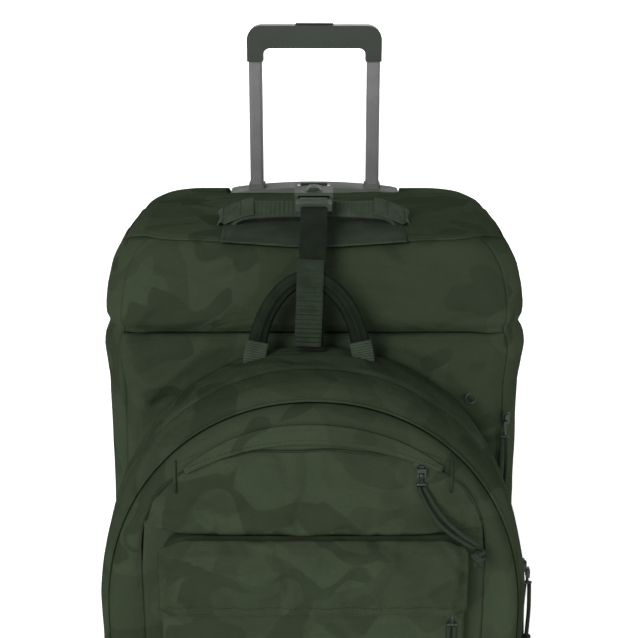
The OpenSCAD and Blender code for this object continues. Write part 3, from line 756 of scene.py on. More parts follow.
def top_edge(s):
    """Height of the seam round the top: high along the front, lower round the sides and back."""
    a = np.abs(np.asarray(s, float))
    return 662 + 17.0 * (1 - ease(0.30, 0.42, a))


# ---- Body pieces ----


def rear_columns(count):
    """s from the right split, round the back, to the left split."""
    run = np.linspace(SPLIT, 2 - SPLIT, count)
    return np.where(run > 1, run - 2, run)


def seam_groove(z):
    """The cross seam between the lid and the upper front, drawn in a little."""
    return -2.6 * np.exp(-((z - 597.5) / 3.6) ** 2) + 1.4 * np.exp(-((z - 612) / 12) ** 2)


def add_body():
    """The wrap round the sides and back, the upper front, and the sill under the lid."""
    s = rear_columns(201)
    a = np.abs(s)
    rows = np.linspace(0, 1, 111)[:, None]
    low = 49 + 43 * ease(0.526, 0.540, a)
    z = low + (top_edge(s) - low) * rows
    edge = ease(SPLIT + 0.012, SPLIT, a) * ease(596, 588, z)
    swell = -0.9 * edge + 1.8 * ease(SPLIT + 0.012, SPLIT + 0.06, a) * ease(0.62, 0.4, a) * ease(60, 150, z)
    swell = swell + seam_groove(z) * ease(0.5, 0.4, a)
    pts = body_points(np.broadcast_to(s, z.shape), z, swell, seed=3)
    mesh = grid_mesh(pts, away=(0, 70, 350))
    panels = ["left_side_panel", "right_side_panel", "back_panel"]
    piece("body_wrap", mesh, camo, "root", panels, 3.0, lining)

    s = np.linspace(-SPLIT, SPLIT, 141)
    rows = np.linspace(0, 1, 37)[:, None]
    high = top_edge(s)
    z = 595.0 + (high - 595.0) * rows
    bulge = 5.0 * np.sin(math.pi * np.clip(rows, 0, 1) ** 0.8) ** 0.75
    curl = -4.5 * (1 - ease(0, 0.13, rows)) - 1.0 * ease(0.93, 1, rows)
    ends = ease(SPLIT, SPLIT - 0.07, np.abs(s))
    swell = (bulge + curl) * ends + seam_groove(z) * (1 - ends)
    pts = body_points(np.broadcast_to(s, z.shape), z, swell, seed=3)
    pts[..., 1] -= fold_lines(pts) * ease(0, 0.5, ends)
    mesh = grid_mesh(pts, away=(0, 70, 600))
    piece("upper_front_fabric", mesh, camo, "root", ["upper_front_panel"], 3.0, lining)

    s = np.linspace(-SPLIT, SPLIT, 121)
    z = np.linspace(47, 104.6, 19)[:, None] + 0 * s
    curl = -2.5 * ease(99, 104.6, z)
    pts = body_points(np.broadcast_to(s, z.shape), z, -1.2 + curl, seed=11, ripple=0.3)
    mesh = grid_mesh(pts, away=(0, 70, 75))
    piece("body_sill_fabric", mesh, camo, "root", (), 0.8)


def fold_lines(pts):
    """Soft slanting folds that run out from the ends of the upper front's lower seam."""
    x, z = pts[..., 0], pts[..., 2]
    out = np.zeros_like(x)
    for x0, z0, dx, dz, length, width, depth in (
            (-166, 600, 0.75, 0.66, 50, 5.0, 3.0), (164, 602, -0.8, 0.6, 60, 5.5, 2.6),
            (-40, 672, -0.95, -0.3, 90, 8, 2.6), (46, 672, 0.94, -0.34, 100, 8, 2.8),
            (30, 640, 0.97, -0.22, 90, 7, -1.8), (-150, 650, 0.97, -0.25, 90, 9, 1.8),
            (-120, 612, 0.99, 0.12, 90, 7, 1.6), (60, 615, 0.99, -0.1, 80, 7, 1.5)):
        along = (x - x0) * dx + (z - z0) * dz
        across = -(x - x0) * dz + (z - z0) * dx
        ends = ease(-6, 6, along) * ease(length, length * 0.4, along)
        out += depth * np.exp(-(across / width) ** 2) * ends
    return out


def add_top():
    """The top's cloth, from its seam to the middle, with a hollow for the trolley bezel."""
    s = np.linspace(-1, 1, 241)[:-1]
    edge = top_edge(s)
    rings = []
    for t in np.linspace(0, 1, 12):
        z = edge + (681.5 - edge) * t
        rings.append(body_points(s, z, -0.6 * (1 - t), ripple=0.5, seed=15))
    rim = rings[-1]
    centre = np.array([0, 72, 681.6])
    for t in np.linspace(0, 1, 30)[1:]:
        ring = rim + (centre - rim) * t
        lift = 1.0 * ease(0, 0.25, t) + 0.5 * noise(ring, 70, 21) + 0.25 * noise(ring, 25, 22)
        ring[:, 2] += lift * ease(0.0, 0.1, t) * (1 - ease(0.9, 1, t))
        hole = (np.abs(ring[:, 0]) < 90) & (ring[:, 1] > 156)
        ring[:, 2] -= np.where(hole, 3.0, 0.0)
        rings.append(ring)
    pts = np.array(rings)
    inside = (np.abs(pts[..., 0]) < 86.5) & (pts[..., 1] > 162.5)
    pts[..., 2] = np.where(inside, np.minimum(pts[..., 2], 655.5), pts[..., 2])
    mesh = grid_mesh(pts, closed=True, away=(0, 70, 500))
    piece("top_fabric", mesh, camo, "root", ["top_panel"], 2.5, lining)

    run = np.linspace(-1, 1, 301)[:-1]
    seam = body_points(run, top_edge(run), 0.1, ripple=0.5, seed=15)
    mesh = sweep_mesh(seam, circle_profile(1.2, 8), (0, 0, 1), closed_path=True)
    piece("top_piping", mesh, camo, "root")


def top_height(x, y):
    """Height of the top's cloth at a place away from its rounded rim."""
    return 682.2 - strap_hollow(x, y) - 2.2 * ease(-25, -44, y)


def add_patch():
    """The darker patch on the top and the stitches round it."""
    x = np.linspace(-81, 81, 61)
    y = np.linspace(-45, 78, 45)[:, None]
    z = top_height(x, y) + 1.4 - 0.6 * ease(78, 81, np.abs(x))
    pts = spread(x, y, z)
    mesh = grid_mesh(pts, away=(0, 20, 300))
    piece("top_patch_fabric", mesh, lit_patch_cloth, "root", ["top_patch"], 1.6)
    path = resample([(-78, -42), (-78, 75), (78, 75), (78, -42)], 160)
    line = np.column_stack([path, top_height(path[:, 0], path[:, 1]) + 1.55])
    mesh = stitches(line, np.array([0, 20, 682.0]) - line)
    piece("patch_stitches", mesh, thread, "root")


# ---- Lid and main zip ----

LID_LOW, LID_TOP = 105.6, 594.4
EYELET = (140, 536)


def pack_cover(x, z):
    """1 where the daypack lies on the lid, 0 away from it."""
    up = np.clip((z - 385) / 204, 0, None)
    reach = (np.abs(x) / 182) ** 2.1 + up ** 2.1
    return ease(1.16, 1.0, reach) * ease(118, 132, z)


def add_lid():
    """The lid's cloth, pressed flat behind the daypack and rolled in at its zip."""
    s = np.linspace(-SPLIT, SPLIT, 161)
    a = np.abs(s)
    z = np.linspace(LID_LOW, LID_TOP, 151)[:, None] + 0 * s
    x = body_face(np.broadcast_to(s, z.shape), z)[0]
    free = 1 - pack_cover(x, z)
    rim = np.minimum((LID_TOP - z) / 9, (SPLIT - a) / 0.014)
    deep_rim = 0.9 + 3.3 * ease(575, 592, z) * ease(SPLIT, SPLIT - 0.03, a)
    curl = -deep_rim * (1 - ease(0, 1, rim)) - 1.5 * ease(111, LID_LOW, z)
    swell = 3.6 * free * ease(0, 2.2, rim) * ease(176, 150, np.abs(x))
    swell = swell + 1.2 * free * ease(570, 588, z) * ease(0, 1.2, rim)
    pts = body_points(np.broadcast_to(s, z.shape), z, swell + curl, seed=31)
    pts[..., 1] += np.clip(-50.3 - pts[..., 1], 0, None) * pack_cover(x, z)
    crease = np.exp(-((np.abs(x) - 166 - 2 * np.sin(z / 33)) / 3.2) ** 2)
    pts[..., 1] += 0.6 * free * crease * ease(575, 540, z)
    mesh = grid_mesh(pts, away=(0, 70, 350))
    piece("lid_fabric", mesh, camo, "lid", ["lid_panel"], 3.0, lining)
    add_main_zip()
    add_eyelet(pts)
    line = [(-144, 115), (-144, 585), (144, 585), (144, 115), (-144, 115)]
    line = upright(resample(line, 200), -44.6)
    mesh = sweep_mesh(line, strap_profile(16, 0.9, False), (0, 1, 0))
    piece("lid_inner_tape", mesh, tape_cloth, "lid", ["lid_zip_tape"])


def add_main_zip():
    """The body's zip: up one side of the lid, along its top, and down the other side."""
    count = 60
    s_side = np.full(count, SPLIT)
    z_side = np.linspace(112, 588, count)
    line_s = np.concatenate([s_side, np.linspace(SPLIT, -SPLIT, count), -s_side])
    line_z = np.concatenate([z_side, np.full(count, 594.8), z_side[::-1]])
    x, y, nx, ny = body_face(line_s, line_z)
    deep = np.repeat([5.2, 8.0, 5.2], count)
    side = np.repeat([(0, 1, 0), (0, 0, 1), (0, 1, 0)], count, 0)
    line = np.stack([x - nx * deep, y - ny * deep, line_z], 1)
    tape = ["body_zip_tape"]
    piece("main_zip_coil", coil_mesh(line, side), coil_plastic, "root", tape)
    inner = np.stack([x - nx * (deep + 1.7), y - ny * (deep + 1.7), line_z], 1)
    mesh = sweep_mesh(inner, strap_profile(11, 0.9), side)
    piece("main_zip_tape", mesh, tape_cloth, "root", tape)


def add_eyelet(lid_points):
    """The eyelet's rolled rim, and a dark disc laid on the lid's cloth inside it as painted shade for the
    hole.
    """
    x, z = EYELET
    near = np.argmin((lid_points[..., 0] - x) ** 2 + (lid_points[..., 2] - z) ** 2)
    y = lid_points[..., 1].ravel()[near] - 0.4
    t = np.linspace(0, 2 * math.pi, 41)[:-1]
    ring = spread(x + 4.6 * np.cos(t), y, z + 4.6 * np.sin(t))
    mesh = sweep_mesh(ring, circle_profile(1.5, 10) * [1.3, 0.8], (0, 1, 0), closed_path=True)
    piece("eyelet_ring", mesh, slider_metal, "lid")
    # A flat disc of dark zip-tape cloth on the lid, with no opening behind it: painted shade where the hole
    # is.
    middle = np.array([x, y - 0.2, z])
    grid = np.array([ring, middle + (ring - middle) * 0.02])
    mesh = grid_mesh(grid, closed=True, away=(0, 70, 500))
    piece("eyelet_hole_painted_shade", mesh, tape_cloth, "lid")


# ---- Straps and handles on the body ----

RIB = 4.0


def ribbed(path, width, thick, depth, plain=(0, 0)):
    """A webbing band with raised crosswise ribs; plain is how many mm at each end have none."""
    total = run_along(path)[-1]
    count = int(total / 0.64) + 1
    line = resample(path, count)
    run = np.linspace(0, total, count)
    wave = 0.5 - 0.5 * np.cos(2 * math.pi * run / RIB)
    keep = ease(plain[0] - 1, plain[0] + 2, run) * ease(plain[1] - 1, plain[1] + 2, total - run)
    scale = 1 - depth / (thick / 2) * (1 - wave) * keep
    profile = np.repeat(strap_profile(width, thick)[None], count, 0)
    profile[..., 1] *= scale[:, None]
    return line, profile


# The direction across the grab handle's webbing, which is lower at the front.
LEAN = (0, 0.91, 0.41)


def add_grab_handle():
    """A webbing handle: a ribbed grip between two smooth ends that are folded and sewn down."""
    y = 8.0
    half = [[79, y, 683.6], [74, y, 685.0], [69, y, 689.5], [60, y, 693.2], [40, y, 694.2]]
    route = [[-x, y, z] for x, y, z in half] + [[0, y, 694.6]] + half[::-1]
    line, profile = ribbed(spline(route, 120), 25, 4.2, 0.5, (30, 30))
    wide = 1 - 0.10 * ease(52, 30, np.abs(line[:, 0]))
    profile = profile * np.stack([wide, np.ones(len(wide))], 1)[:, None]
    mesh = sweep_mesh(line, profile, LEAN)
    piece("grab_handle_webbing", mesh, webbing_light, "root", ["grab_handle"])
    for sign, tag in SIDES:
        fold = spline([[sign * 82.5, y, 683.4], [sign * 84, y, 685.8], [sign * 80, y, 688.6],
                       [sign * 70, y, 692.8], [sign * 60, y, 696.0], [sign * 54, y, 697.0]], 40)
        mesh = sweep_mesh(fold, strap_profile(26, 2.2), LEAN)
        piece("handle_end_" + tag, mesh, webbing_light, "root")
        box = []
        for x_at, y_at in ((82, -2), (82, 18), (66, 18), (66, -2), (82, -2), (66, 18)):
            height = np.interp(x_at, [66, 82], [695.6, 689.3])
            box.append([sign * x_at, y_at, height + 0.45 * (y_at - y)])
        box = resample(box, 60)
        mesh = stitches(box, np.array(LEAN) + 0 * box + [0.3, 0, 0], 2.6, 1.9)
        piece("handle_stitch_" + tag, mesh, thread, "root")


def tilt(points, at=(0, -4, 704), degrees=12):
    """From the buckle's own axes to the frame's."""
    points = np.asarray(points, float)
    c, s = math.cos(math.radians(degrees)), math.sin(math.radians(degrees))
    y = points[..., 1] * c - points[..., 2] * s
    z = points[..., 1] * s + points[..., 2] * c
    return np.stack([points[..., 0], y, z], -1) + np.array(at, float)


def rounded_block(half_x, y0, y1, z0, z1, inset, crown=0.0):
    """A small moulded block with eased edges and a crowned face, in the buckle's axes."""
    xs = np.array([-1, -1 + 0.06, -0.5, 0, 0.5, 1 - 0.06, 1]) * half_x
    ys = np.concatenate([[y0, y0 + inset], np.linspace(y0 + inset, y1 - inset, 6)[1:-1], [y1 - inset, y1]])
    gx, gy = np.meshgrid(xs, ys)
    rim_x = ease(half_x, half_x - inset, np.abs(gx))
    rim_y = ease(0, inset, np.minimum(gy - y0, y1 - gy))
    eased = inset * (1 - np.minimum(rim_x, rim_y))
    top = z1 - eased + crown * (1 - (gx / half_x) ** 2)
    rows, cols = gx.shape
    verts = np.vstack([tilt(spread(gx, gy, z)).reshape(-1, 3) for z in (top, z0 + 0.6 * eased)])
    faces = []
    n = rows * cols
    for r in range(rows - 1):
        for c in range(cols - 1):
            i = r * cols + c
            faces.append((i, i + 1, i + cols + 1, i + cols))
            faces.append((n + i + cols, n + i + cols + 1, n + i + 1, n + i))
    border = list(range(cols)) + [r * cols + cols - 1 for r in range(1, rows)]
    border += [(rows - 1) * cols + c for c in range(cols - 2, -1, -1)]
    border += [r * cols for r in range(rows - 2, 0, -1)]
    for i, j in zip(border, border[1:] + border[:1]):
        faces.append((j, i, n + i, n + j))
    return new_mesh(verts, faces)


def add_buckle():
    """The buckle's trim: its pad, the socket's pins, the tongue's ribs and the strap behind it."""
    finish_node("buckle_socket", buckle_plastic, 0.8, 3)
    finish_node("buckle_tongue", buckle_plastic, 0.8, 3)
    mesh = rounded_block(7.5, 5.0, 17.5, 6.5, 9.6, 2.6, 0.6)
    piece("buckle_pad", mesh, buckle_plastic, "root")
    pins = []
    for x in (-13.2, 13.2):
        line = tilt(spread(x, 19.0, 6.2 + 2.2 * np.linspace(0, 1, 5)))
        size = np.array([1.5, 1.5, 1.5, 1.25, 0.7])
        pins.append(sweep_mesh(line, circle_profile(1.0, 12)[None] * size[:, None, None]))
    piece("buckle_pins", joined(pins), steel, "root")
    ribs = [rounded_block(12.5, y, y + 1.4, 3.4, 4.9, 0.5) for y in (-12.6, -10.2, -4.2, -2.2)]
    piece("buckle_tongue_ribs", joined(ribs), buckle_plastic, "pack")
    route = tilt([[0, 25.2, 3.9], [0, 28.6, 4.6], [0, 32.2, 2.4], [0, 36, -3.0],
                  [0, 41, -10.5], [0, 46, -17], [0, 54, -23.0], [0, 62, -24.6]])
    route[:, 2] = np.maximum(route[:, 2], top_height(0, 40) + 2.6)
    line, profile = ribbed(spline(route, 60), 24.5, 2.4, 0.35)
    mesh = sweep_mesh(line, profile)
    piece("anchor_webbing", mesh, webbing, "root", ["buckle_anchor"])


def add_tether():
    """The daypack's strap: smooth where it passes over the edge, with a ribbed loose tail on it."""
    flat = [[0, -10.6, 702.6], [0, -17.8, 701.6], [0, -30, 700], [0, -44, 696], [0, -57, 689],
            [0, -70, 680], [0, -79, 670], [0, -82.5, 655], [0, -82.6, 632], [0, -83.5, 606],
            [0, -84.5, 592]]
    line = spline(flat, 110)
    line[:, 0] += np.interp(line[:, 2], [592, 650, 700], [-2.5, -1.5, 0])
    mesh = sweep_mesh(line, strap_profile(23, 2.2))
    piece("tether_strap_flat", mesh, webbing_smooth, "pack", ["tether_strap"])
    tail = [[-2.1, -82.9, 671.5], [-2.5, -87.0, 665.5], [-3, -89, 650], [-3.6, -90, 630],
            [-4.4, -90.4, 612], [-5.0, -89.8, 598]]
    line, profile = ribbed(spline(tail, 120), 23, 3.6, 1.5, (6, 1))
    mesh = sweep_mesh(line, profile)
    piece("tether_strap_tail", mesh, webbing, "pack", ["tether_strap"])


def add_haul_loop():
    """The daypack's webbing loop, with its two ends sewn down by dense stitching."""
    half, middle = 45.5, -4
    t = np.linspace(0, math.pi, 90)
    x = half * np.cos(t) * (1 - 0.2 * np.sin(t)) + middle
    lean = -82.0 - 3.0 * np.sin(t) + 0.8 * np.cos(3 * t)
    path = resample(np.stack([x, lean, 584 + 72 * np.sin(t) ** 0.8], 1), 110)
    width = np.interp(path[:, 2], [584, 610, 656], [17.5, 15.5, 14.5])
    profile = np.repeat(strap_profile(2.0, 2.4, False)[None], len(path), 0)
    profile[..., 1] *= (width / 2)[:, None]
    mesh = sweep_mesh(path, profile, (0, 1, 0))
    piece("haul_loop_webbing", mesh, webbing_smooth, "pack", ["haul_loop"])
    for sign, tag in SIDES:
        x = sign * half + middle
        line = spline([[x + sign * 1.5, -84.6, 579.5], [x + sign * 1.0, -86.4, 586],
                       [x - sign * 0.5, -87.0, 594], [x - sign * 2.0, -86.6, 601]], 30)
        count = 60
        wave = 0.72 + 0.28 * np.cos(np.arange(count) * 2 * math.pi / 6)
        profile = np.repeat(strap_profile(19, 2.6)[None], count, 0)
        profile[..., 1] *= wave[:, None]
        mesh = sweep_mesh(resample(line, count), profile)
        piece("loop_bartack_" + tag, mesh, webbing_light, "pack")


# ---- Daypack ----

# Depth in front of y = 0, half width, and height of the arch above ARCH_Z there.
PACK_LEVELS = np.array([
    [50.8, 164, 188], [56, 173, 198], [66, 181.5, 204.5], [90, 183.5, 206], [118, 182.5, 205.2],
    [140, 181.5, 204], [150, 180.4, 202.4], [158, 177.4, 198.6], [165, 172, 192]], float)
ARCH_Z = 385.0
PACK_LOW = 130.0
PACK_CORNER = 55.0
FOLD_Z = 190.0


def half_round(a, b, base, fullness):
    """The upper half of a full oval, from right to left; 2 would make it an ellipse."""
    t = np.linspace(0, math.pi, 200)
    power = 2 / fullness
    return np.stack([a * np.sign(np.cos(t)) * np.abs(np.cos(t)) ** power,
                     base + b * np.sin(t) ** power], 1)


def arch_line(a, b, count, low=PACK_LOW, closed=True):
    """The daypack's outline: an arch over straight sides, with rounded corners if closed."""
    arch = half_round(a, b, ARCH_Z, 2.1)
    if closed:
        r = PACK_CORNER
        q = np.linspace(0, math.pi / 2, 30)
        left = np.stack([-a + r - r * np.cos(q), low + r - r * np.sin(q)], 1)
        right = np.stack([a - r + r * np.sin(q), low + r - r * np.cos(q)], 1)
        line = np.vstack([[[0, low]], right, arch, left, [[0, low]]])
        return resample(line, count + 1)[:-1]
    line = np.vstack([[[a, low]], arch, [[-a, low]]])
    return resample(line, count)


def pack_size(y):
    return [np.interp(-y, PACK_LEVELS[:, 0], PACK_LEVELS[:, k]) for k in (1, 2)]


def ripple_out(pts, amount, seed):
    """Pushes points away from the daypack's middle line along Y by smooth noise."""
    away = pts - [0, 0, 350.0]
    away[..., 1] = 0
    away /= np.maximum(np.linalg.norm(away, axis=-1), 1e-6)[..., None]
    push = amount * (noise(pts, 45, seed) + 0.5 * noise(pts, 18, seed + 1))
    return pts + away * push[..., None]


def arch_rows(ys, widen, count, low, closed):
    """The daypack's outline at each depth, wider there by widen mm."""
    rows = []
    for y, extra in zip(ys, widen):
        a, b = pack_size(y)
        rows.append(upright(arch_line(a + extra, b + extra, count, low, closed), y))
    return np.array(rows)


def add_pack_shells():
    """The daypack's rear half, and the front half that folds down from FOLD_Z."""
    ys = np.concatenate([np.linspace(-50.9, -66, 7), np.linspace(-70, -118, 18), [-119.6]])
    widen = np.where(ys < -114, -1.8 * ease(-114, -119.6, ys), 0.0)
    rows = ripple_out(arch_rows(ys, widen, 260, PACK_LOW, True), 1.1, 41)
    mesh = grid_mesh(rows, closed=True, away=(0, -85, 350))
    piece("pack_rear_fabric", mesh, camo_pack, "pack", ["pack_rear_shell"], 2.4, lining)

    ys = np.concatenate([[-120.8, -124], np.linspace(-128, -164.6, 16)])
    widen = -1.8 * ease(-126, -120.8, ys)
    rows = ripple_out(arch_rows(ys, widen, 230, FOLD_Z + 0.6, False), 0.9, 47)
    mesh = grid_mesh(rows, away=(0, -140, 350))
    piece("pack_front_fabric", mesh, camo_pack, "pack_front", ["pack_front_shell"], 2.4, lining)


def add_pack_base():
    """The daypack's bottom, which stays upright below the fold."""
    rows = []
    top = FOLD_Z - 0.4
    r = PACK_CORNER
    q = np.linspace(0, math.pi / 2, 14)
    for y in np.concatenate([[-119.4], np.linspace(-124, -164.6, 12)]):
        a = pack_size(y)[0] - 1.2
        right = np.stack([a - r + r * np.cos(q), PACK_LOW + r - r * np.sin(q)], 1)
        left = right[::-1] * [-1, 1]
        rows.append(upright(resample(np.vstack([[[a, top]], right, left, [[-a, top]]]), 130), y))
    x, y, z = rows[-1].T
    for t in np.linspace(0, 1, 12)[1:]:
        y = -164.9 - 2.0 * math.sin(math.pi * t)
        rows.append(spread(x * (1 - 0.02 * t), y, z + (top - z) * t))
    mesh = grid_mesh(ripple_out(np.array(rows), 0.15, 53), away=(0, -140, 200))
    piece("pack_base_fabric", mesh, camo_pack, "pack", ["pack_rear_shell"], 2.4, lining)


def add_pack_trim():
    """The zip between the daypack's halves, and the piping round its front and its back."""
    a, b = pack_size(-120.2)
    low = FOLD_Z + 4
    path = upright(arch_line(a - 3.2, b - 3.2, 300, low, closed=False), -120.2)
    piece("pack_zip_coil", coil_mesh(path, (0, 1, 0), 1.5), coil_plastic, "pack")
    path = upright(arch_line(a - 4.9, b - 4.9, 160, low, closed=False), -119.4)
    mesh = sweep_mesh(path, strap_profile(14, 0.9), (0, 1, 0))
    piece("pack_zip_tape", mesh, tape_cloth, "pack")
    path = upright(arch_line(173.0, 193.0, 260, FOLD_Z + 1.5, closed=False), -165.2)
    mesh = sweep_mesh(path, circle_profile(1.2, 10), (0, 1, 0))
    piece("pack_front_piping", mesh, camo_pack, "pack_front")
    path = upright(arch_line(165.5, 189.5, 260, PACK_LOW + 2), -51.6)
    mesh = sweep_mesh(path, circle_profile(1.5, 8), (0, 1, 0), closed_path=True)
    piece("pack_rear_piping", mesh, piping_cloth, "pack")


# ---- Front pocket ----

FACE_HALF, FACE_BASE, FACE_RISE, FACE_FULL = 140, 440, 102, 2.8


def face_outline(count):
    """Outline of the front pocket's face, an arch that ends in straight sides."""
    arch = half_round(FACE_HALF, FACE_RISE, FACE_BASE, FACE_FULL)
    low = FOLD_Z + 4
    return resample(np.vstack([[[FACE_HALF, low]], arch, [[-FACE_HALF, low]]]), count)


def face_top(x):
    """Top of the front pocket's face above a place on its width."""
    u = np.clip(np.abs(x) / FACE_HALF, 0, 1)
    return FACE_BASE + FACE_RISE * (1 - u ** FACE_FULL) ** (1 / FACE_FULL)


def wavy_top(x):
    """The face's seam, which runs a little wavy along its top."""
    return face_top(x) + 0.8 * np.sin(x / 9.0) * ease(135, 100, np.abs(x))


def add_front_pocket():
    """The rounded band from the daypack's front to the pocket's face, and the cloth behind."""
    count = 240
    specs = [(171.6, 191.6, -165.4), (171.4, 191.2, -168.5), (170.6, 190, -172.5),
             (169, 187.5, -176.5), (166.5, 184, -179.4), (163, 180, -181.2)]
    rows = [upright(arch_line(a, b, count, FOLD_Z + 4, closed=False), y) for a, b, y in specs]
    start, goal = rows[-1], upright(face_outline(count), -180.4)
    for t in np.linspace(0, 1, 14)[1:]:
        row = start * (1 - t) + goal * t
        row[:, 1] -= 1.2 * math.sin(math.pi * t)
        rows.append(row)
    rows = np.array(rows)
    bend = 0.35 * noise(rows, 30, 61) + 0.2 * noise(rows, 12, 62) - 0.2
    rows[..., 1] -= bend * ease(0, 4, np.arange(len(rows)))[:, None]
    mesh = grid_mesh(rows, away=(0, -100, 350))
    piece("front_pocket_band", mesh, camo_pocket, "pack_front", ["front_pocket"], 1.8, lining)

    x = np.linspace(-FACE_HALF, FACE_HALF, 91)
    v = np.linspace(0, 1, 61)[:, None]
    z = 194 + (np.minimum(face_top(x), 478) - 194) * v
    y = -180.6 - 4.0 * np.sin(math.pi * v) ** 0.5 * (1 - (np.abs(x) / FACE_HALF) ** 6)
    mesh = grid_mesh(spread(x, y, z), away=(0, -100, 300))
    piece("pocket_back_fabric", mesh, camo_pocket, "pack_front", ["front_pocket"], 1.6, lining)


CLOTH = {"quality": 6, "mass": 0.25, "tension_stiffness": 18, "compression_stiffness": 18,
         "shear_stiffness": 6, "bending_stiffness": 0.6, "air_damping": 6, "use_pressure": True,
         "pin_stiffness": 1.0}


def puff(obj, pins, pressure, frames, slack, cap):
    """Fills a sheet out by a cloth simulation with its pins held; no point moves over cap mm."""
    start = np.array([v.co[:] for v in obj.data.vertices])
    group = obj.vertex_groups.new(name="held")
    group.add([int(i) for i in pins], 1.0, "REPLACE")
    cloth = obj.modifiers.new("puff", "CLOTH")
    for key, value in CLOTH.items():
        setattr(cloth.settings, key, value)
    cloth.settings.uniform_pressure_force = pressure
    cloth.settings.shrink_min = -slack
    cloth.settings.shrink_max = -slack
    cloth.settings.vertex_group_mass = group.name
    cloth.settings.effector_weights.gravity = 0.0
    cloth.collision_settings.use_collision = False
    cloth.collision_settings.use_self_collision = False
    cloth.point_cache.frame_start = 1
    cloth.point_cache.frame_end = frames
    for number in range(1, frames + 1):
        scene.frame_set(number)
    shown = obj.evaluated_get(bpy.context.evaluated_depsgraph_get())
    result = np.array([v.co[:] for v in shown.data.vertices])
    obj.modifiers.remove(cloth)
    obj.vertex_groups.clear()
    scene.frame_set(1)
    move = result - start
    size = np.linalg.norm(move, axis=1)
    move *= np.minimum(1, cap * MM / np.maximum(size, 1e-9))[:, None]
    obj.data.vertices.foreach_set("co", (start + move).ravel())
    obj.data.update()


def border(rows, cols):
    """The numbers of the points on the edges of a grid."""
    inside = np.zeros((rows, cols), bool)
    inside[1:-1, 1:-1] = True
    return np.flatnonzero(~inside)


def soften(obj):
    """One level of subdivision over a simulated sheet."""
    sub = obj.modifiers.new("smooth", "SUBSURF")
    sub.levels = 1
    sub.render_levels = 1


def add_pocket_face():
    """The puffed face above the front pocket's zip; it lies flat under the pull's cord."""
    cols, rows = 71, 19
    x = np.linspace(-137, 137, cols)
    v = np.linspace(0, 1, rows)[:, None]
    top = wavy_top(x)
    z = 473.6 + (top - 473.6) * v
    side = 1 - (np.abs(x) / 137.5) ** 7
    rise = np.interp(v, [0, 0.03, 0.08, 0.18, 0.4, 0.7, 1], [0.70, 0.92, 1.0, 0.98, 0.8, 0.4, 0])
    reach = np.clip((top - 473.6) / 60, 0.12, 1) * (1 - 0.55 * ease(50, 82, x) * ease(0.02, 0.3, v))
    reach = reach * (1 - 0.9 * ease(114, 128, np.abs(x)) * ease(0.5, 0.1, v))
    reach = reach * (1 - 0.8 * ease(40, 70, -x) * ease(0.3, 0.65, v))
    y = -181.2 - 19.0 * rise * side * reach
    pts = spread(x, y, z)
    bend = 0.9 * noise(pts, 38, 71) + 0.5 * noise(pts, 16, 72)
    pts[..., 1] -= bend * np.sin(math.pi * v) * side
    gathers = 0.9 * np.sin(x / 4.2 + 2 * np.sin(x / 23)) * np.exp(-(1 - v) / 0.16) * side
    pts[..., 1] -= gathers
    mesh = grid_mesh(pts, away=(0, -100, 500))
    face = piece("pocket_face_fabric", mesh, camo_pocket, "pack_front", ["front_pocket"])
    across = np.abs(pts[..., 0])
    under_cord = (across > 72) & (across < 120) & (pts[..., 2] > np.where(pts[..., 0] > 0, 480, 497))
    pins = np.union1d(border(rows, cols), np.flatnonzero(under_cord))
    puff(face, pins, 3.0, 24, 0.05, 2.4)
    soften(face)
    thicken(face, 1.8)

    x = np.linspace(-136, 136, 160)
    mesh = sweep_mesh(spread(x, -181.6, wavy_top(x)), circle_profile(1.1, 8), (0, 1, 0))
    piece("pocket_face_seam", mesh, piping_cloth, "pack_front")


ZIP_Z = 329.0


def at_arc(radius, degrees, y):
    """Points on the curved zip of the front pocket, measured from the middle of its arc."""
    t = np.radians(degrees)
    return spread(radius * np.sin(t), y, ZIP_Z + radius * np.cos(t))


def add_rain_flap():
    """The flap that hides the front pocket's zip, with the zip below its edge."""
    angle = np.linspace(-27.5, 27.5, 111)
    outer = []
    radii = np.linspace(225, 262, 200)
    for t in np.radians(angle):
        px, pz = radii * np.sin(t), ZIP_Z + radii * np.cos(t)
        inside = (np.abs(px) / 163) ** 2.1 + (np.clip(pz - ARCH_Z, 0, None) / 180) ** 2.1
        outer.append(radii[np.argmax(inside > 1)] if (inside > 1).any() else 262)
    outer = np.array(outer)
    v = np.linspace(0, 1, 15)[:, None]
    radius = 219.5 - 0.6 * np.sin(np.radians(angle) * 9) + (outer - 219.5) * v
    y = -184.4 - 1.8 * np.sin(math.pi * np.clip(v * 0.8 + 0.25, 0, 1)) * np.ones_like(angle)
    pts = at_arc(radius, angle + 0 * v, y)
    pts[..., 1] -= 0.35 * noise(pts, 18, 81)
    mesh = grid_mesh(pts, away=(0, -100, 450))
    piece("zip_rain_flap", mesh, camo_pocket, "pack_front", ["pocket_welt"], 1.5, tape_cloth)
    run = np.linspace(-26.5, 26.5, 200)
    mesh = stitches(at_arc(223.5, run, -186.2), (0, 0, 1))
    piece("rain_flap_stitches", mesh, thread, "pack_front")
    for sign, tag in SIDES:
        x = sign * 110.5
        end = spline([[x, -177.0, 531], [x, -180.0, 527], [x, -182.2, 522], [x, -183.2, 515],
                      [x, -183.4, 506]], 12)
        mesh = sweep_mesh(end, strap_profile(2.4, 2.4))
        piece("rain_flap_end_" + tag, mesh, camo_pocket, "pack_front")
    arc = at_arc(222.5, np.linspace(-25.5, 25.5, 160), -182.0)
    mesh = coil_mesh(arc, (0, 0, 1), 1.5)
    piece("front_zip_coil", mesh, coil_plastic, "pack_front")
    grid = at_arc(np.linspace(212.5, 229, 5)[:, None] + 0 * run, run + np.zeros((5, 1)), -181.4)
    mesh = grid_mesh(grid, away=(0, -100, 450))
    piece("front_zip_tape", mesh, camo_pocket, "pack_front", (), 0.7)


# ---- Lower pocket and its flap ----


